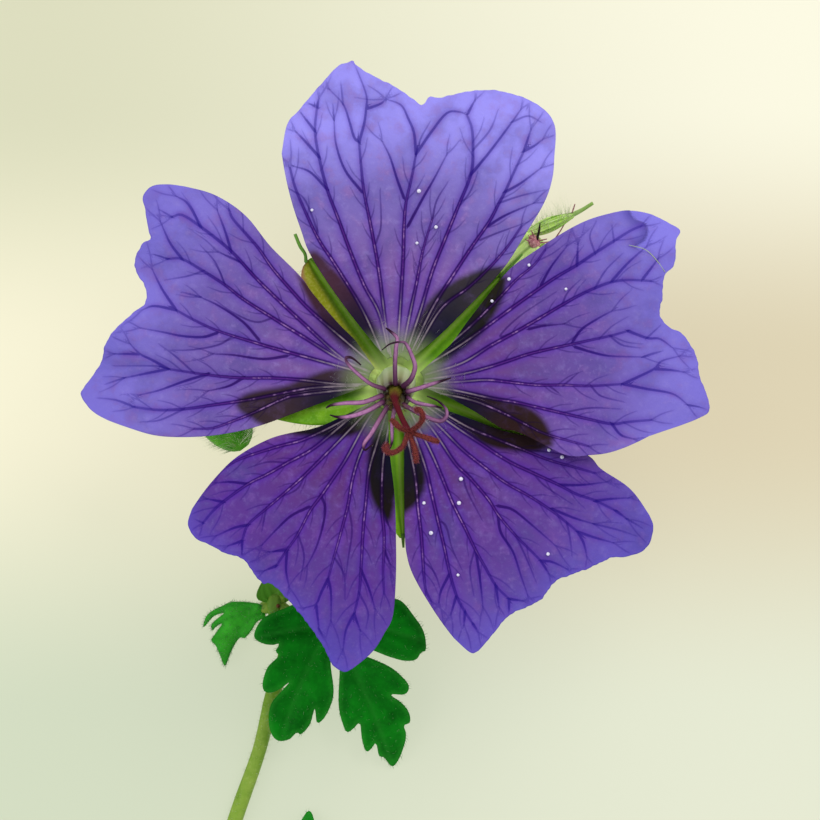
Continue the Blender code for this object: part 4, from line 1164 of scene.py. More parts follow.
# %% Green finish
def green_finish(name, dark, light, line, valley):
    """Make a living green: clouded, with paler nerves and a dark valley on each side of the midline."""
    skin = Finish(name, roughness=0.5, specular=0.1)
    clouds = skin.noise(1.6, 3.0, 0.6)
    grain = skin.noise(0.22, 3.0, 0.6)
    green = skin.mix(clouds.ramp(0.3, 0.7), paint(dark), paint(light))
    green = skin.mix(grain.ramp(0.45, 0.8) * 0.3, green, paint(line))
    along = skin.mark("along")
    across = skin.mark("across")
    # Painted light: the sepals that lie deep in the petals' shade are drawn a brighter green.
    green = skin.mix(skin.mark("sunk") * 0.75, green, paint("98e01c"))
    green = skin.mix(skin.mark("nerve").ramp(0.25, 1.0) * 0.6, green, paint(line))
    hooded = skin.mark("hooded")
    olive = hooded * across.ramp(0.05, 0.3)
    green = skin.mix(olive * 0.85, green, skin.mix(grain.ramp(0.4, 0.7), paint("a4a41c"), paint("beb84c")))
    red_edge = hooded * across.ramp(0.6, 0.95) * along.ramp(0.6, 0.9)
    green = skin.mix(red_edge * 0.85, green, paint("b0785e"))
    aside = abs(across)
    valleys = aside.ramp(0.08, 0.16) * (1 - aside.ramp(0.2, 0.36))
    green = skin.mix(valleys * valley, green, paint("2f6a0a"))
    # The sepals' feet and the receptacle are pale green of their own, drawn paler still as painted light
    # against the shade under the petals.
    foot = skin.mark("receptacle") + skin.mark("calyx") * (1 - along.ramp(0.04, 0.3))
    green = skin.mix(foot * 0.9, green, paint("d6ec90"))
    ribs = 1 - skin.mark("groove").ramp(-1.0, -0.1)
    green = skin.mix(skin.mark("cup") * ribs * 0.6, green, paint("4c7420"))
    green = skin.mix(skin.mark("bristle") * 0.8, green, paint("5a8a3a"))
    green = skin.mix(skin.mark("hair") * 0.9, green, paint("dfe6c4"))
    skin.colour(green)
    skin.rough(0.4 + grain * 0.25)
    skin.relief(grain * 0.4 + clouds * 0.6, 0.06, 0.5)
    return skin


sepal_green = green_finish("sepal_green", "4c8c08", "7db51e", "b9dc6a", 0.55)
print("the sepals' finish has", len(sepal_green.tree.nodes), "nodes")

# %% Calyx
calyx = Skin()
lathe(calyx, [(0, 0, height) for height, _ in RECEPTACLE], [radius for _, radius in RECEPTACLE], UP,
      ribs=(5, 0.05), receptacle=1.0)
for sepal in SEPALS:
    reach = seen(*sepal["tip"], SEPAL_TIP_HEIGHT)[:2]
    outward = unit(reach)
    leftward = np.array([-outward[1], outward[0]])

    def under_petals(along, across):
        """Place a point of a sepal against the petals' shared saucer."""
        forward = along + 0.5
        height = petal_rise(np.maximum(np.hypot(forward, across) - 1, 0)) - 0.98
        keel = 0.2 * (1 - np.minimum(np.abs(across) / 0.8, 1))
        flat = forward[..., None] * outward + across[..., None] * leftward
        return np.concatenate([flat, (height - keel)[..., None]], -1)

    length = np.linalg.norm(reach) - 0.5
    hooded = sepal is SEPALS[0]
    places = sepal_blade(calyx, length, SEPAL_WIDTH / 2, under_petals, calyx=1.0, sunk=sepal["sunk"],
                         shape=HOODED_SHAPE if hooded else SEPAL_SHAPE, hooded=float(hooded))
    end = places[-1, SEPAL_COLUMNS // 2]
    if hooded:
        route = smooth_line([seen(*point) for point in HOODED_SEPAL_BRISTLE], 6)
    else:
        route = [end - np.append(outward, 0) * 0.3, end + np.append(outward, 0.1) * sepal["bristle"]]
        route = spread(np.array(route), 8)
    tube(calyx, route, [0.14, 0.12, 0.13, 0.12] if hooded else [0.16, 0.12, 0.08], sides=8, bristle=1.0)
    for edge, turn in ((0, 1), (-1, -1)):
        picks = draw.integers(6, SEPAL_ROWS - 2, SEPAL_HAIRS)
        away = np.append(leftward, 0) * turn + np.append(outward, 0) * 0.7
        away = away + draw.normal(0, 0.35, (SEPAL_HAIRS, 3)) + 0.5 * UP
        needles(calyx, places[picks, edge], away, draw.uniform(0.5, 1.3, SEPAL_HAIRS), 0.016, hair=1.0)
calyx.piece("calyx_dressed", sepal_green, "sepals", "calyx")

# %% [markdown]
# ## The stamens
# Ten filaments rise from a short collar of their joined bases, spread and curl over at the tip, where a
# dark thread is left once the anther has dropped. The photograph shows nine of their routes, each read
# as pixels with a height, and the tenth is a guess. A bevelled curve has one section all along, so each
# is a tube here that tapers and carries the share of its length for the colour.

# %% The stamens' routes
COLLAR = [((0, 0, 13.6), 1.0), ((0, 0, 13.75), 1.34), ((0, -0.1, 14.1), 1.42), ((0, -0.3, 14.6), 1.32),
          ((-0.04, -0.6, 15.1), 1.2), ((-0.08, -0.9, 15.55), 1.1), ((-0.08, -0.9, 15.66), 1.02),
          ((-0.08, -0.9, 15.55), 0.86), ((-0.04, -0.6, 15.1), 0.9), ((0, -0.3, 14.6), 0.92)]
COLLAR_TOP = np.array([-0.08, -0.9, 15.6])
FILAMENT_HAIRS = 14
FILAMENT_RIM_ANGLES = (88, 50, 145, 178, 205, 235, 268, 20, 318, -8)
FILAMENTS = [
    [(395, 364, 17.2), (396, 348, 17.9), (397, 338, 17.8), (390, 331, 17.3), (386, 328, 16.9)],
    [(411, 379, 17.0), (415, 367, 17.6), (412, 356, 17.9), (406, 344, 18.4), (400, 342, 18.9),
     (390, 344, 19.1), (382, 350, 18.9)],
    [(371, 384, 16.6), (358, 374, 17.0), (348, 364, 17.5), (346, 358, 18.1), (352, 358, 18.5),
     (361, 365, 18.4)],
    [(364, 402, 16.3), (346, 403, 16.8), (332, 405, 17.1), (326, 408, 17.5)],
    [(369, 410, 16.5), (352, 416, 16.7), (338, 417, 16.9), (330, 415, 17.4)],
    [(377, 424, 16.3), (371, 434, 16.5), (364, 444, 16.8), (365, 450, 17.3), (373, 444, 17.5)],
    [(392, 424, 16.0), (392, 441, 16.2), (389, 451, 16.4)],
    [(420, 388, 16.3), (438, 382, 16.9), (451, 378, 17.3)],
    [(424, 416, 16.3), (439, 421, 17.0), (446, 417, 17.6), (446, 409, 18.0), (438, 401, 18.3),
     (427, 396, 18.4)],
    [(417, 403, 16.4), (434, 406, 16.9), (442, 408, 16.6)],
]


print("filaments:", len(FILAMENTS))

# %% Stamens
def stamen_finish():
    """Make the filaments' pink that darkens at the foot and turns almost black at the tip."""
    skin = Finish("filament_pink", roughness=0.45, specular=0.15)
    along = skin.mark("along")
    grain = skin.noise(0.3, 3.0, 0.6)
    pink = skin.mix(along.ramp(0.1, 0.5), paint("5c3348"), paint("b07aa4"))
    pink = skin.mix(grain.ramp(0.35, 0.75) * 0.5, pink, paint("7a4a72"))
    # Painted shade: the filaments' sides that face away from above are drawn dark purple.
    pink = skin.mix((1 - skin.mark("ridge").ramp(0.35, 0.85)) * 0.75, pink, paint("4e2148"))
    pink = skin.mix(along.ramp(0.66, 0.82), pink, paint("2a0f22"))
    collar = skin.mix(along.ramp(0.12, 0.5), paint("b9cf9a"), paint("8d8f62"))
    collar = skin.mix(along.ramp(0.42, 0.62), collar, paint("43202b"))
    collar = skin.mix(skin.mark("groove").ramp(-1.0, 0.6) * 0.25, collar, paint("e2ecca"))
    colour = skin.mix(skin.mark("collar"), pink, collar)
    skin.colour(skin.mix(skin.mark("hair"), colour, paint("e6ead2")))
    skin.relief(grain, 0.03, 0.5)
    return skin


filament_pink = stamen_finish()
stamens = Skin()
lathe(stamens, [centre for centre, _ in COLLAR], [radius for _, radius in COLLAR], UP,
      sides=100, ribs=(10, 0.022), collar=1.0)
for angle, route in zip(FILAMENT_RIM_ANGLES, FILAMENTS):
    outward = np.array([math.cos(math.radians(angle)), math.sin(math.radians(angle)), 0])
    root = COLLAR_TOP + outward * 1.0
    path = smooth_line([root - 0.6 * UP, root + 0.2 * UP, *[seen(*point) for point in route]], 8)
    tube(stamens, path, [0.24, 0.2, 0.19, 0.18, 0.16, 0.13, 0.09, 0.05], sides=14, flat=0.72)
    picks = draw.integers(3, 20, FILAMENT_HAIRS)
    away = outward + draw.normal(0, 0.8, (FILAMENT_HAIRS, 3))
    needles(stamens, path[picks], away, draw.uniform(0.3, 0.6, FILAMENT_HAIRS), 0.012, hair=1.0)
stamens.piece("stamens_dressed", filament_pink, "stamens", "stamens")

# %% [markdown]
# ## The pistil
# From the collar an olive ovary narrows into a dark red style, which opens into five brick-red stigma
# arms. The arms are felted with tiny papillae. Fine needles would be too many at full density, so a
# fuzz of a few hundred short ones on each arm and a bumpy surface share the work. Longer brown hairs
# stand round the style's foot.

# %% The pistil's routes and a fuzz of hairs
STYLE_PATH = [(0, 0, 13.7), (-0.04, -0.5, 14.8), (-0.09, -1.1, 16.4), seen(401, 416, 18.1),
              seen(409, 432, 19.4)]
STIGMA_RADIUS = 0.16
STIGMA_HAIRS = 26
STIGMA_ARMS = [
    [(418, 426, 20.0), (423, 418, 20.4), (420, 410, 20.7), (415, 410, 20.5)],
    [(399, 427, 20.0), (391, 419, 20.2)],
    [(427, 438, 19.9), (439, 442, 19.7)],
    [(415, 450, 19.9), (416, 463, 19.7)],
    [(402, 447, 19.9), (392, 453, 19.9), (385, 449, 19.7), (388, 444, 19.4)],
]


def fuzz(skin, path, radius, number, length, width, **marks):
    """Set short hairs all round a path."""
    path = np.asarray(path, float)
    tangents = np.gradient(path, axis=0)
    picks = draw.uniform(0.02, 1, number) * (len(path) - 1)
    roots = np.stack([np.interp(picks, range(len(path)), path[:, axis]) for axis in range(3)], 1)
    ways = tangents[picks.astype(int)]
    ways = ways / np.linalg.norm(ways, axis=1)[:, None]
    directions = draw.normal(size=(number, 3))
    directions -= ways * np.sum(directions * ways, axis=1)[:, None]
    directions /= np.linalg.norm(directions, axis=1)[:, None]
    needles(skin, roots + directions * radius * 0.95, directions + ways * 0.35,
            draw.uniform(0.6, 1.0, number) * length, width, **marks)


print("stigma arms:", len(STIGMA_ARMS))

# %% Pistil
def pistil_finish():
    """Make the olive ovary, the dark style and the brick-red arms."""
    skin = Finish("stigma_red", roughness=0.6, specular=0.12)
    along = skin.mark("along")
    arm = skin.mark("arm")
    grain = skin.noise(0.12, 3.0, 0.6)
    style = skin.mix(along.ramp(0.3, 0.5), paint("8f8a2a"), paint("5c1620"))
    arms = skin.mix(grain.ramp(0.35, 0.7), paint("4c201c"), paint("82362f"))
    arms = skin.mix(arm.ramp(0.4, 1.0) * 0.2, arms, paint("a04a40"))
    red = skin.mix(arm.ramp(0.0, 0.15), style, arms)
    red = skin.mix(skin.mark("fuzz") * 0.6, red, paint("b8606a"))
    skin.colour(skin.mix(skin.mark("brown") * 0.8, red, paint("6e5a34")))
    skin.relief(grain, 0.05, 0.8)
    return skin


stigma_red = pistil_finish()
pistil = Skin()
style_route = smooth_line(STYLE_PATH, 10)
tube(pistil, style_route, [0.58, 0.6, 0.44, 0.25, 0.2, 0.2, 0.22], sides=20, ribs=(5, 0.06))
crown = np.asarray(STYLE_PATH[-1])
for route in STIGMA_ARMS:
    places = np.array([seen(*point) for point in route])
    start = crown + (places[0] - crown) * 0.1 - 0.15 * UP
    path = smooth_line([start, *places], 8)
    tube(pistil, path, [0.2, 0.16, 0.17, 0.19, 0.2, 0.13], sides=16, flat=0.85, arm=0.6)
    fuzz(pistil, path, STIGMA_RADIUS, STIGMA_HAIRS * len(path), 0.2, 0.008, arm=0.6, fuzz=1.0)
fuzz(pistil, style_route[14:28], 0.4, 260, 0.42, 0.009, brown=1.0)
pistil.piece("pistil_dressed", stigma_red, "pistil", "pistil")

# %% [markdown]
# ## The stem
# One yellow-green stem carries everything: it swells at each node, where the stalks of the leaves and
# flowers leave it between papery stipules. Each stalk is a tube along the route of the packed solid,
# with shallow ribs, a little unevenness and short soft hairs.

# %% The stem's routes
STEM_RADIUS = 0.55
STALK_RADIUS = 0.5
PETIOLE_RADIUS = 0.45
STEM_HAIRS_PER_MM = 14
STEM_CUT = (-17.2, -50, 0.7)
LOWER_LEAF_NODE = (-15.5, -43, 0.68)
STEM_NODE = seen(275, 604, 2.3)
FORK = (-3.2, -9.5, 1.6)
STEM_ROUTES = {
    "stem": [STEM_CUT, LOWER_LEAF_NODE, seen(235, 820, 0.68), seen(259, 751, 0.75), seen(272, 697, 1.0),
             seen(286, 649, 1.6), STEM_NODE],
    "peduncle": [STEM_NODE, (-6.3, -13, 1.75), FORK],
    "bloom_stalk": [FORK, (-2.4, -6.4, 2.5), (-1.3, -3.4, 5.0), (-0.4, -1.1, 8.3), (0, -0.1, 11.3)],
    "spent_stalk": [FORK, (-1.2, -5.6, 1.2), (2.6, 1.6, 1.0), (5.9, 6.2, 0.9), (7.3, 7.65, 1.05),
                    (7.9, 8.15, 1.2)],
    "bud_stalk": [FORK, (-6.6, -8.7, 1.1), (-9.9, -6.9, 1.2), (-11.2, -5.3, 1.6)],
    "right_petiole": [STEM_NODE, (-7.4, -17.4, 2.5), (-5.9, -17.8, 2.8), (-4.7, -18.0, 3.2)],
    "left_petiole": [STEM_NODE, (-9.6, -16.6, 2.2), (-10.0, -16.7, 1.9)],
    "lower_petiole": [LOWER_LEAF_NODE, (-13.4, -43.8, 1.7), (-11.4, -43.9, 1.85), (-9.2, -43.75, 1.5)],
}
STEM_SWELLINGS = [(STEM_NODE, 0.68, 1.1), (FORK, 0.7, 1.2), (LOWER_LEAF_NODE, 0.64, 1.2)]
STIPULE_TIPS = [seen(266, 583, 3.4), seen(283, 582, 3.4)]
NODE_SCAR = seen(278, 606, 3.05)


print("stalks on the stem:", ", ".join(STEM_ROUTES))

# %% Stem finish
def stem_finish():
    """Make the stem's yellow green, browner at its nodes."""
    skin = Finish("stem_green", roughness=0.5, specular=0.15)
    clouds = skin.noise(3.0, 3.0, 0.6)
    grain = skin.noise(0.3, 3.0, 0.6)
    green = skin.mix(clouds.ramp(0.3, 0.7), paint("6f9a26"), paint("98b548"))
    green = skin.mix(grain.ramp(0.5, 0.8) * 0.35, green, paint("b9cc78"))
    green = skin.mix(skin.mark("knot") * (grain.ramp(0.3, 0.7) * 0.3 + 0.5), green, paint("568a2a"))
    stipule = skin.mix(clouds.ramp(0.45, 0.75), paint("4f8f22"), paint("7f9440"))
    green = skin.mix(skin.mark("stipule"), green, stipule)
    green = skin.mix(skin.mark("scar"), green, paint("6e4226"))
    skin.colour(skin.mix(skin.mark("hair") * 0.85, green, paint("dbe3bd")))
    skin.rough(0.4 + grain * 0.2)
    skin.relief(clouds + grain * 0.5, 0.08, 0.5)
    return skin


stem_green = stem_finish()
print("the stem's finish has", len(stem_green.tree.nodes), "nodes")

# %% Stem
stem = Skin()
for name, route in STEM_ROUTES.items():
    path = smooth_line(route, 14)
    radius = STALK_RADIUS if "stalk" in name else PETIOLE_RADIUS if "petiole" in name else STEM_RADIUS
    uneven = radius * (1 + 0.05 * draw.normal(size=9))
    uneven[-1] = radius * (1.25 if "stalk" in name else 1)
    tube(stem, path, uneven, sides=18, ribs=(6, 0.045))
    length = np.linalg.norm(np.diff(path, axis=0), axis=1).sum()
    fuzz(stem, path, radius, int(STEM_HAIRS_PER_MM * length), 0.38, 0.013, hair=1.0)
for joint, swelling, long in STEM_SWELLINGS:
    turns = np.linspace(-1, 1, 15)
    centres = [np.asarray(joint) + (0, long * turn, 0) for turn in turns]
    lathe(stem, centres, swelling * np.sqrt(1 - turns ** 2) + 0.01, (0, 1, 0), sides=24, ribs=(6, 0.05),
          knot=1.0)
foot = np.asarray(STEM_NODE)
for tip in STIPULE_TIPS:
    away = tip - foot
    flat_across = unit(np.cross(UP, away))

    def stipule_place(along, across):
        """Place a point of a stipule on its way from the node to its tip."""
        share = along[..., None] / np.linalg.norm(away)
        return foot + away * (0.1 + share) + flat_across * across[..., None]

    sepal_blade(stem, np.linalg.norm(away) * 1.05, 1.05, stipule_place, 0.22, stipule=1.0)
lathe(stem, [NODE_SCAR - 0.15 * UP, NODE_SCAR, NODE_SCAR + 0.05 * UP], [0.16, 0.15, 0.06], UP,
      sides=10, scar=1.0)
stem.piece("stem_dressed", stem_green, "stem", "stem")

# %% [markdown]
# ## The leaves
# A leaf of this plant is cut into lobes with blunt teeth, folded along its ribs and slightly quilted
# between its veins. Its outline was read off the photograph, apart from the lobes that the bloom hides
# and the lower leaf, of which the photograph shows one tip. A grid can't follow such an outline, so
# the leaf is filled with triangles, and the height of each point comes from the leaf's droop and from
# how far the nearest vein is.

# %% Filling a leaf's border
LEAF_SPACING = 0.24


def near_lines(flat, lines):
    """Give each point its distance from the nearest of some lines."""
    best = np.full(len(flat), 1e9)
    for line in lines:
        for start, end in zip(line[:-1], line[1:]):
            along = end - start
            offset = flat - start
            share = np.clip(offset @ along / max(along @ along, 1e-9), 0, 1)
            best = np.minimum(best, np.linalg.norm(offset - share[:, None] * along, axis=1))
    return best


def filled(border):
    """Fill a leaf's border with fine triangles, and give their points and faces and the closed border."""
    low, high = border.min(0), border.max(0)
    columns, rows = np.meshgrid(np.arange(low[0], high[0], LEAF_SPACING),
                                np.arange(low[1], high[1], LEAF_SPACING * 0.87))
    columns = columns + (np.arange(len(rows))[:, None] % 2) * LEAF_SPACING / 2
    inner = np.stack([columns.ravel(), rows.ravel()], 1)
    closed = np.vstack([border, border[:1]])
    inner = inner[depth_inside(inner, closed) > LEAF_SPACING * 0.45]
    flat = [Vector(point) for point in np.vstack([border, inner])]
    points, _, faces, _, _, _ = delaunay_2d_cdt(flat, [], [list(range(len(border)))], 1, 1e-6)
    return np.array(points), faces, closed


print("a leaf's triangles are", LEAF_SPACING, "mm wide")

# %% Leaf finish
def leaf_finish():
    """Make the leaf's deep green, with paler veins and rim and a dull underside."""
    skin = Finish("leaf_green", roughness=0.55, specular=0.06)
    clouds = skin.noise(2.4, 3.0, 0.6)
    grain = skin.noise(0.28, 3.0, 0.6)
    green = skin.mix(clouds.ramp(0.3, 0.7), paint("02600a"), paint("088412"))
    green = skin.mix(grain.ramp(0.45, 0.8) * 0.35, green, paint("1a9a1e"))
    green = skin.mix(skin.mark("light") * (clouds.ramp(0.35, 0.65) * 0.4 + 0.55), green, paint("48c432"))
    green = skin.mix((1 - skin.mark("edge").ramp(0.05, 0.5)) * 0.35, green, paint("30a02c"))
    green = skin.mix(skin.mark("vein") * 0.35, green, paint("0a6a14"))
    green = skin.mix(skin.mark("rib") * 0.3, green, paint("2f9a2c"))
    green = skin.mix(skin.mark("under") * 0.6, green, paint("5f9a58"))
    skin.colour(skin.mix(skin.mark("hair") * 0.6, green, paint("a9cf9a")))
    skin.rough(0.42 + grain * 0.25)
    skin.relief(grain * 0.5 + clouds * 0.5, 0.08, 0.6)
    return skin


leaf_green = leaf_finish()
print("the leaves' finish has", len(leaf_green.tree.nodes), "nodes")

# %% A leaf blade
LEAF_THICKNESS = 0.34
LEAF_MARGIN_HAIRS = 420
LEAF_TOP_HAIRS = 500


def leaf_piece(name, border, ribs, veins, height, node, light=0.0):
    """Bend a leaf's flat triangles, quilt them, thicken them and set hairs on them."""
    points, faces, closed = filled(border)
    to_rib = near_lines(points, ribs)
    to_vein = np.minimum(near_lines(points, veins), to_rib)
    edge = np.abs(depth_inside(points, closed))
    z = height(points[:, 0], points[:, 1])
    z = z - 0.2 * np.exp(-(to_rib / 0.35) ** 2) + 0.16 * ramp(to_vein, 0, 0.9)
    z = z - 0.12 * (1 - ramp(edge, 0, 0.7))
    thickness = LEAF_THICKNESS * (0.45 + 0.55 * ramp(edge, 0, 0.6))
    count = len(points)
    top = np.column_stack([points, z])
    under = np.column_stack([points, z - thickness])
    edges = {pair: True for face in faces for pair in zip(face, [*face[1:], face[0]])}
    rim = [(first, second) for first, second in edges if (second, first) not in edges]
    all_faces = [tuple(face) for face in faces]
    all_faces += [tuple(corner + count for corner in reversed(face)) for face in faces]
    all_faces += [(second, first, first + count, second + count) for first, second in rim]
    skin = Skin()
    skin.add(np.vstack([top, under]), all_faces, rib=np.tile(np.exp(-(to_rib / 0.16) ** 2), 2),
             vein=np.tile(np.exp(-(to_vein / 0.1) ** 2), 2), edge=np.tile(edge, 2),
             under=np.repeat([0.0, 1.0], count), light=light)
    picks = draw.integers(0, len(border), LEAF_MARGIN_HAIRS)
    outward = points[picks] - points.mean(0)
    away = np.column_stack([outward, np.full(LEAF_MARGIN_HAIRS, 2.5)])
    away = away + draw.normal(0, 1.5, (LEAF_MARGIN_HAIRS, 3))
    lengths = draw.uniform(0.2, 0.42, LEAF_MARGIN_HAIRS)
    needles(skin, top[picks] - 0.1 * UP, away, lengths, 0.012, hair=1.0)
    picks = draw.integers(0, count, LEAF_TOP_HAIRS)
    upright = UP + draw.normal(0, 0.5, (LEAF_TOP_HAIRS, 3))
    needles(skin, top[picks], upright, draw.uniform(0.15, 0.35, LEAF_TOP_HAIRS), 0.011, hair=1.0)
    skin.piece(name, leaf_green, "leaf", node)


print("a leaf blade is", LEAF_THICKNESS, "mm thick")

# %% [markdown]
# ### The two leaves at the node
# The right one reaches out from under the lower petals, and the left one is small, folded and split
# into narrow strips at its tip. The veins run from the palm to each tooth. No rule draws such uneven
# lobes, so both outlines follow the photograph point by point.

# %% The outlines of the leaves at the node
RIGHT_PALM = seen(331, 626, 3.2)[:2]
RIGHT_LEAF_LOBES = [
    {"height": 2.8, "edge": [(310, 606), (297, 603), (284, 608), (271, 613), (262, 619), (256, 629),
                             (255, 637), (262, 642), (272, 644), (280, 643), (276, 650), (279, 655),
                             (269, 665), (265, 674), (263, 684), (266, 691), (277, 690), (290, 681),
                             (281, 691), (272, 702), (269, 716), (271, 731), (278, 740), (289, 739),
                             (297, 732), (301, 734), (310, 724), (315, 708), (317, 722), (323, 719),
                             (330, 707), (334, 690), (331, 660)]},
    {"height": 1.8, "edge": [(340, 657), (339, 702), (344, 725), (348, 731), (354, 727), (360, 722),
                             (362, 738), (366, 751), (371, 749), (376, 743), (379, 756), (384, 758),
                             (392, 768), (399, 760), (405, 743), (406, 733), (404, 725), (410, 722),
                             (409, 712), (402, 702), (391, 693), (405, 693), (409, 685), (402, 675),
                             (390, 665), (370, 656), (357, 652)]},
    {"height": 2.8, "edge": [(362, 646), (390, 656), (405, 660), (416, 659), (421, 652), (426, 649),
                             (424, 632), (415, 617), (399, 599), (378, 601), (356, 611)]},
    {"height": 2.8, "edge": [(362, 588), (371, 572), (358, 562), (348, 567), (340, 591)]},
    {"height": 2.8, "edge": [(332, 575), (323, 551), (311, 555), (300, 575), (308, 594), (319, 615)]},
]
RIGHT_RIBS = [
    [(331, 626), (312, 660), (294, 700), (283, 734)], [(331, 626), (350, 662), (372, 708), (392, 764)],
    [(331, 626), (375, 626), (421, 640)], [(331, 626), (346, 596), (361, 567)],
    [(331, 626), (322, 592), (316, 557)], [(331, 626), (300, 628), (259, 636)],
]
RIGHT_VEINS = [
    [(304, 672), (286, 676), (266, 686)], [(296, 694), (283, 706), (273, 722)],
    [(300, 686), (311, 700), (318, 716)], [(313, 658), (325, 682), (326, 708)],
    [(320, 646), (300, 652), (270, 662)], [(352, 666), (380, 676), (405, 688)],
    [(362, 686), (388, 702), (408, 716)], [(352, 668), (346, 700), (351, 725)],
    [(364, 692), (362, 720), (369, 744)], [(378, 722), (392, 732), (402, 748)],
    [(360, 626), (384, 612), (402, 604)], [(368, 627), (392, 644), (412, 656)],
    [(390, 630), (408, 622), (420, 624)],
]
LEFT_LEAF_HEIGHT = 2.0
LEFT_LEAF = [(266, 617), (257, 622), (251, 631), (245, 638), (240, 638), (235, 644), (230, 654),
             (224, 667), (220, 657), (216, 647), (211, 641), (215, 634), (222, 624), (216, 627),
             (212, 631), (211, 625), (217, 619), (224, 613), (213, 617), (203, 628), (205, 618),
             (212, 611), (222, 606), (232, 602), (248, 602), (262, 605)]
LEFT_RIBS = [[(264, 612), (246, 622), (225, 663)], [(252, 609), (230, 606), (205, 622)]]
LEFT_VEINS = [[(238, 628), (226, 636), (214, 640)], [(248, 620), (248, 628), (244, 636)],
              [(246, 614), (228, 618), (214, 628)]]


print("points on the right leaf:", sum(len(lobe["edge"]) for lobe in RIGHT_LEAF_LOBES))

# %% Leaves at the node
def lines_at(pixel_lines, height):
    """Place several pixel lines at one height, as flat smooth lines."""
    return [smooth_line(seen_line(pixels, height)[:, :2], 5) for pixels in pixel_lines]


def right_leaf_height(x, y):
    """Give the right leaf's height: it droops away from its palm, less so beside the stem."""
    out = np.hypot(x - RIGHT_PALM[0], y - RIGHT_PALM[1])
    toward_stem = np.clip((-5.5 - x) / 4, 0, 1)
    drop = np.maximum(0, out - 4.5) / 6.5
    return 3.55 + 0.12 * out - (3.7 - 2.2 * toward_stem) * drop ** 1.5


def left_leaf_height(x, y):
    """Give the left leaf's height: it droops and is folded along its length."""
    out = np.hypot(x + 10.2, y + 16.8)
    return 2.3 - 0.054 * out ** 2 + 0.25 * np.sin(2.0 * (y + 17.5))


right_edge = np.vstack([seen_line(lobe["edge"], lobe["height"]) for lobe in RIGHT_LEAF_LOBES])[:, :2]
right_border = spread(closed_line(right_edge, 6), 420)[:-1]
leaf_piece("leaf_right_dressed", right_border, lines_at(RIGHT_RIBS, 2.6), lines_at(RIGHT_VEINS, 2.4),
           right_leaf_height, "leaf_right")
left_edge = seen_line(LEFT_LEAF, LEFT_LEAF_HEIGHT)[:, :2]
left_border = spread(closed_line(left_edge, 6), 200)[:-1]
leaf_piece("leaf_left_dressed", left_border, lines_at(LEFT_RIBS, LEFT_LEAF_HEIGHT),
           lines_at(LEFT_VEINS, LEFT_LEAF_HEIGHT), left_leaf_height, "leaf_left", light=0.9)

# %% [markdown]
# ### The lower leaf
# It has the same habit with five even lobes, so one rule draws them: each lobe's side is a list of
# shares along and across it, mirrored for the other side.

# %% Lower leaf
LOWER_PALM = np.array([-8.2, -43.7])
LOWER_LEAF_LOBES = [(-78, 8.6), (-26, 10.4), (29, 11.2), (82, 11.8), (134, 7.2)]
LOBE_SIDE = [(0.2, 0.05), (0.42, 0.12), (0.6, 0.26), (0.63, 0.13), (0.84, 0.2), (0.84, 0.09)]
LOBE_VEINS = [(0.3, (0.58, 0.23)), (0.55, (0.82, 0.17))]
lower_edge = []
lower_ribs = []
lower_veins = []
for azimuth, length in LOWER_LEAF_LOBES:
    along = np.array([math.cos(math.radians(azimuth)), math.sin(math.radians(azimuth))])
    side = np.array([along[1], -along[0]])
    lower_edge += [LOWER_PALM + length * (a * along + b * side) for a, b in LOBE_SIDE]
    lower_edge.append(LOWER_PALM + length * along)
    lower_edge += [LOWER_PALM + length * (a * along - b * side) for a, b in reversed(LOBE_SIDE)]
    lower_ribs.append(np.array([LOWER_PALM, LOWER_PALM + along * length * 0.97]))
    for turn in (1, -1):
        for start, tooth in LOBE_VEINS:
            end = LOWER_PALM + length * (tooth[0] * along + turn * tooth[1] * side)
            lower_veins.append(np.array([LOWER_PALM + along * length * start, end]))
lower_edge.append(LOWER_PALM + (-2.4, -0.2))


def lower_leaf_height(x, y):
    """Give the lower leaf's height: its palm lies flat and its lobes arch up and down again."""
    out = np.maximum(0, np.hypot(x - LOWER_PALM[0], y - LOWER_PALM[1]) - 2.2) / 9
    return 0.58 + 2.6 * out - 2.4 * out ** 2


lower_border = spread(closed_line(lower_edge, 5), 520)[:-1]
leaf_piece("leaf_lower_dressed", lower_border, lower_ribs, lower_veins, lower_leaf_height, "leaf_lower")

# %% [markdown]
# ## The bud
# A closed bud is a stack of ribbed rings, for its sepals wrap it tightly and show as ribs, with their
# bristles bunched at the tip. A rounded cage could give the same form, but rings keep the ribs even. It
# is thickly set with soft white hairs.

# %% Bud
BUD_BASE = seen(244, 448, 2.1)
BUD_TIP = np.array([-15.3, 0.5, 2.4])
LONG_BUD_HAIRS = [((243, 440, 3.4), (256, 428, 3.9)), ((246, 437, 3.5), (255, 425, 4.1)),
                  ((240, 444, 3.2), (249, 434, 3.9)), ((236, 447, 2.6), (254, 438, 2.8)),
                  ((233, 449, 2.3), (250, 442, 2.5)), ((240, 445, 2.8), (261, 433, 2.9))]
BUD_SHAPE = [(0, 0.4), (0.06, 1.0), (0.2, 1.6), (0.4, 1.9), (0.6, 1.7), (0.78, 1.15), (0.92, 0.6),
             (1.0, 0.25), (1.15, 0.2)]


def settle(skin):
    """Lower or raise a skin until it touches the surface."""
    lowest = min(points[:, 2].min() for points in skin.points)
    skin.points = [points - lowest * UP for points in skin.points]


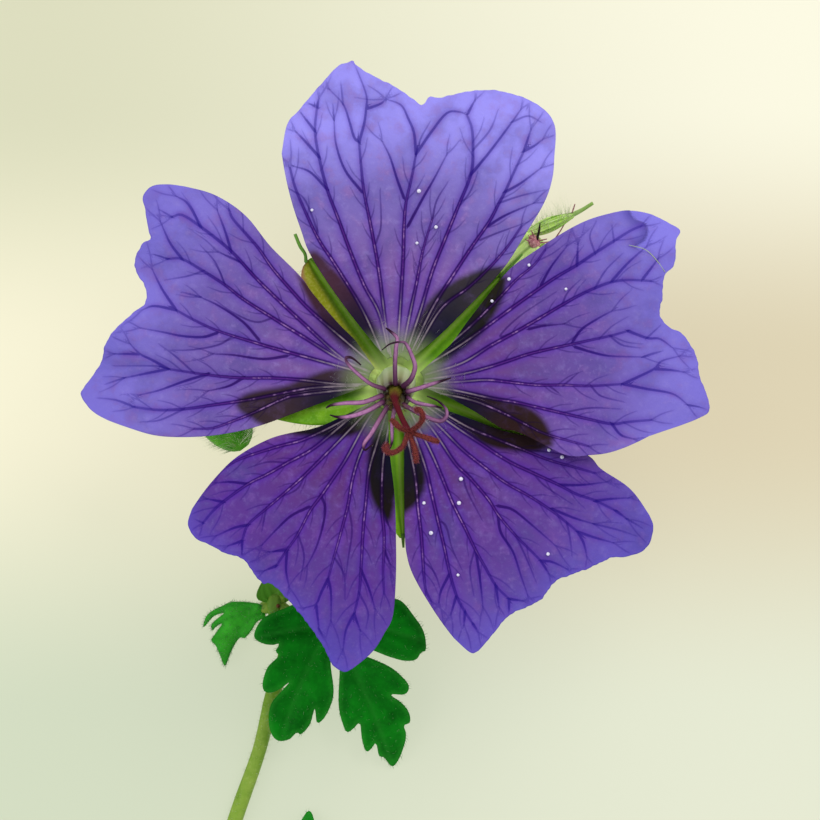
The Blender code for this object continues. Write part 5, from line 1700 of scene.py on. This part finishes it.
bud_green = green_finish("bud_green", "3c9018", "62b02e", "a8d66a", 0.0)
bud = Skin()
bud_axis = BUD_TIP - BUD_BASE
bud_shape = smooth_line(BUD_SHAPE, 5)
bud_route = np.array([BUD_BASE + bud_axis * share for share, _ in bud_shape])
bud_way = unit(bud_axis)
lathe(bud, bud_route, bud_shape[:, 1], bud_axis, sides=60, ribs=(5, 0.06))
side = unit(np.cross(bud_axis, UP))
other = np.cross(bud_way, side)
for turn in np.linspace(0, 2 * np.pi, 5, endpoint=False):
    outward = side * math.cos(turn) + other * math.sin(turn)
    route = [BUD_BASE + bud_axis * 0.9 + outward * 0.35, BUD_TIP + outward * 0.3 + bud_way * 0.8]
    tube(bud, spread(np.array(route), 6), [0.2, 0.1, 0.05], sides=8, bristle=0.7)
settle(bud)
for place, radius in zip(bud_route, bud_shape[:, 1]):
    if radius > 0.8:
        fuzz(bud, [place, place + bud_way * 0.25], radius, 46, 1.0, 0.009, hair=1.0)
for root, tip in LONG_BUD_HAIRS:
    way = seen(*tip) - seen(*root)
    needles(bud, [seen(*root)], [way], [np.linalg.norm(way)], 0.022, hair=1.0)
bud.piece("bud_dressed", bud_green, "bud", "bud")

# %% [markdown]
# ## The spent flower
# Its petals have dropped: a ribbed green cup lies on the surface, its five sepals have closed into a
# narrow hairy beak, and the dried heart of the flower shows at the cup's mouth with a few threads. The
# sepals repeat the bloom's own blade, made narrower and set round the beak's axis.

# %% The spent flower's measures
SPENT_BASE = seen(498, 279, 1.15)
SPENT_MOUTH = seen(539, 244, 2.05)
SPENT_CUP = [(0, 0.6), (0.2, 1.15), (0.5, 1.6), (0.8, 1.75), (1.0, 1.7), (1.02, 1.3), (0.9, 1.1)]
SPENT_SEPALS_START = seen(527, 234, 2.7)
SPENT_SEPALS_END = seen(573, 215, 2.9)
SPENT_BRISTLE = [(570, 216, 2.9), (582, 210, 3.0), (593, 203, 3.1)]
SPENT_SEPAL_TURNS = (-24, 38, 110, 182, 254)
SPENT_SEPAL_NARROWING = 0.2
SPENT_HAIRS = 24
SPENT_HEART = (534, 242, 3.5)
SPENT_THREADS = [[(537, 240, 3.8), (539, 231, 4.0), (540, 223, 4.1)], [(533, 240, 3.8), (528, 235, 3.9)],
                 [(531, 243, 3.8), (525, 239, 3.9)], [(538, 241, 3.8), (547, 239, 3.8)],
                 [(535, 239, 3.8), (531, 230, 3.9)], [(572, 213, 3.1), (575, 204, 3.2)],
                 [(538, 243, 3.4), (552, 241, 2.8), (559, 233, 2.7), (565, 223, 2.8)]]

print("the spent cup is", round(2 * max(radius for _, radius in SPENT_CUP), 1), "mm wide")

# %% Spent cup and sepals
spent_green = green_finish("spent_green", "b4e060", "dcf69a", "f4fcd8", 0.3)
spent = Skin()
spent_axis = SPENT_MOUTH - SPENT_BASE
spent_way = unit(SPENT_SEPALS_END - SPENT_SEPALS_START)
spent_length = np.linalg.norm(SPENT_SEPALS_END - SPENT_SEPALS_START)
spent_turn = Vector(spent_way).to_track_quat("X", "Z").to_matrix()
forward, sideways, above = [np.array(column) for column in spent_turn.transposed()]
cup_shape = smooth_line(SPENT_CUP, 4)
lathe(spent, [SPENT_BASE + spent_axis * share for share, _ in cup_shape], cup_shape[:, 1], spent_axis,
      sides=96, ribs=(16, 0.04), cup=1.0)
for turn in SPENT_SEPAL_TURNS:
    roll = math.radians(turn)
    beside = sideways * math.cos(roll) + above * math.sin(roll)
    outside = above * math.cos(roll) - sideways * math.sin(roll)

    def round_beak(along, across):
        """Place a point of a spent sepal on the narrow beak that the five of them form."""
        across = across * SPENT_SEPAL_NARROWING
        out = 0.2 + 0.2 * np.sin(np.pi * along / spent_length) - 0.3 * across ** 2
        return (SPENT_SEPALS_START + along[..., None] * forward + across[..., None] * beside
                + out[..., None] * outside)

    places = sepal_blade(spent, spent_length, SEPAL_WIDTH / 2, round_beak, 0.16)
    for edge in (0, -1):
        picks = draw.integers(4, SEPAL_ROWS - 2, SPENT_HAIRS)
        away = sideways + outside * 0.4 + draw.normal(0, 0.35, (SPENT_HAIRS, 3)) + forward * 0.3
        needles(spent, places[picks, edge], away, draw.uniform(0.5, 1.9, SPENT_HAIRS), 0.009, hair=1.0)
route = smooth_line([seen(*point) for point in SPENT_BRISTLE], 6)
tube(spent, route, [0.2, 0.15, 0.13], sides=8, bristle=0.8)
settle(spent)
spent.piece("spent_calyx_dressed", spent_green, "sepals", "spent_calyx")


# %% Dried heart
def dried_finish():
    """Make the dried heart's dull pink and the dark brown of its threads."""
    skin = Finish("dried_red", roughness=0.7, specular=0.2)
    grain = skin.noise(0.2, 3.0, 0.6)
    pink = skin.mix(grain.ramp(0.3, 0.7), paint("9a4a5c"), paint("dca8a2"))
    skin.colour(skin.mix(skin.mark("thread"), pink, paint("241a18")))
    skin.relief(grain, 0.06, 0.8)
    return skin


dried_red = dried_finish()
dried = Skin()
heart = seen(*SPENT_HEART)
turns = np.linspace(-1, 1, 13)
lathe(dried, [heart + spent_way * 0.45 * turn for turn in turns], 0.5 * np.sqrt(1 - turns ** 2) + 0.01,
      spent_way, sides=30, ribs=(10, 0.12))
for number, route in enumerate(SPENT_THREADS):
    path = smooth_line([seen(*point) for point in route], 6)
    width = 0.1 if number == 0 else 0.055
    tube(dried, path, [width, width, 0.04], sides=8, thread=1.0 if number == 0 else 0.35)
dried.piece("spent_pistil_dressed", dried_red, "spent_pistil", "spent_pistil")

# %% [markdown]
# ## Grains of pollen
# A few white grains lie scattered on the petals. Each is a small ball that rests on the petal at the
# pixel where the photograph shows it. Copies of one sphere would be lighter, but they stay apart from
# each other as objects, so all the balls are written into one mesh.

# %% Pollen
POLLEN = [(419, 191), (436, 227), (417, 243), (312, 210), (529, 265), (509, 279), (566, 289), (492, 301),
          (461, 479), (459, 503), (424, 503), (548, 554), (562, 457), (431, 533), (458, 575), (549, 450)]
POLLEN_RADIUS = 0.13


def pollen_finish():
    """Make the grains' warm white."""
    skin = Finish("pollen_white", roughness=0.7, specular=0.2)
    skin.colour(skin.mix(skin.noise(0.1).ramp(0.3, 0.7), paint("cfcde6"), paint("f4f2fa")))
    return skin


pollen_white = pollen_finish()
pollen = Skin()
surface = np.vstack([petal_grid(petal, 60, 60)[0].reshape(-1, 3) for petal in PETALS.values()])
surface_pixels = pixels_of(surface)
for grain in POLLEN:
    nearest = np.argmin(np.linalg.norm(surface_pixels - np.array(grain), axis=1))
    size = POLLEN_RADIUS * draw.uniform(0.75, 1.15)
    centre = seen(*grain, surface[nearest][2] + size * 0.8)
    turns = np.linspace(-1, 1, 7)
    lathe(pollen, [centre + size * turn * UP for turn in turns],
          size * np.sqrt(1 - turns ** 2) + 0.004, UP, sides=10)
pollen.piece("pollen", pollen_white, "petals")

# %% Size
visual_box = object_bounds()
for title, box in (("packed", cad_box), ("dressed", visual_box)):
    print(title, "size in mm:", [round((high - low) / MM, 1) for low, high in zip(*box)])
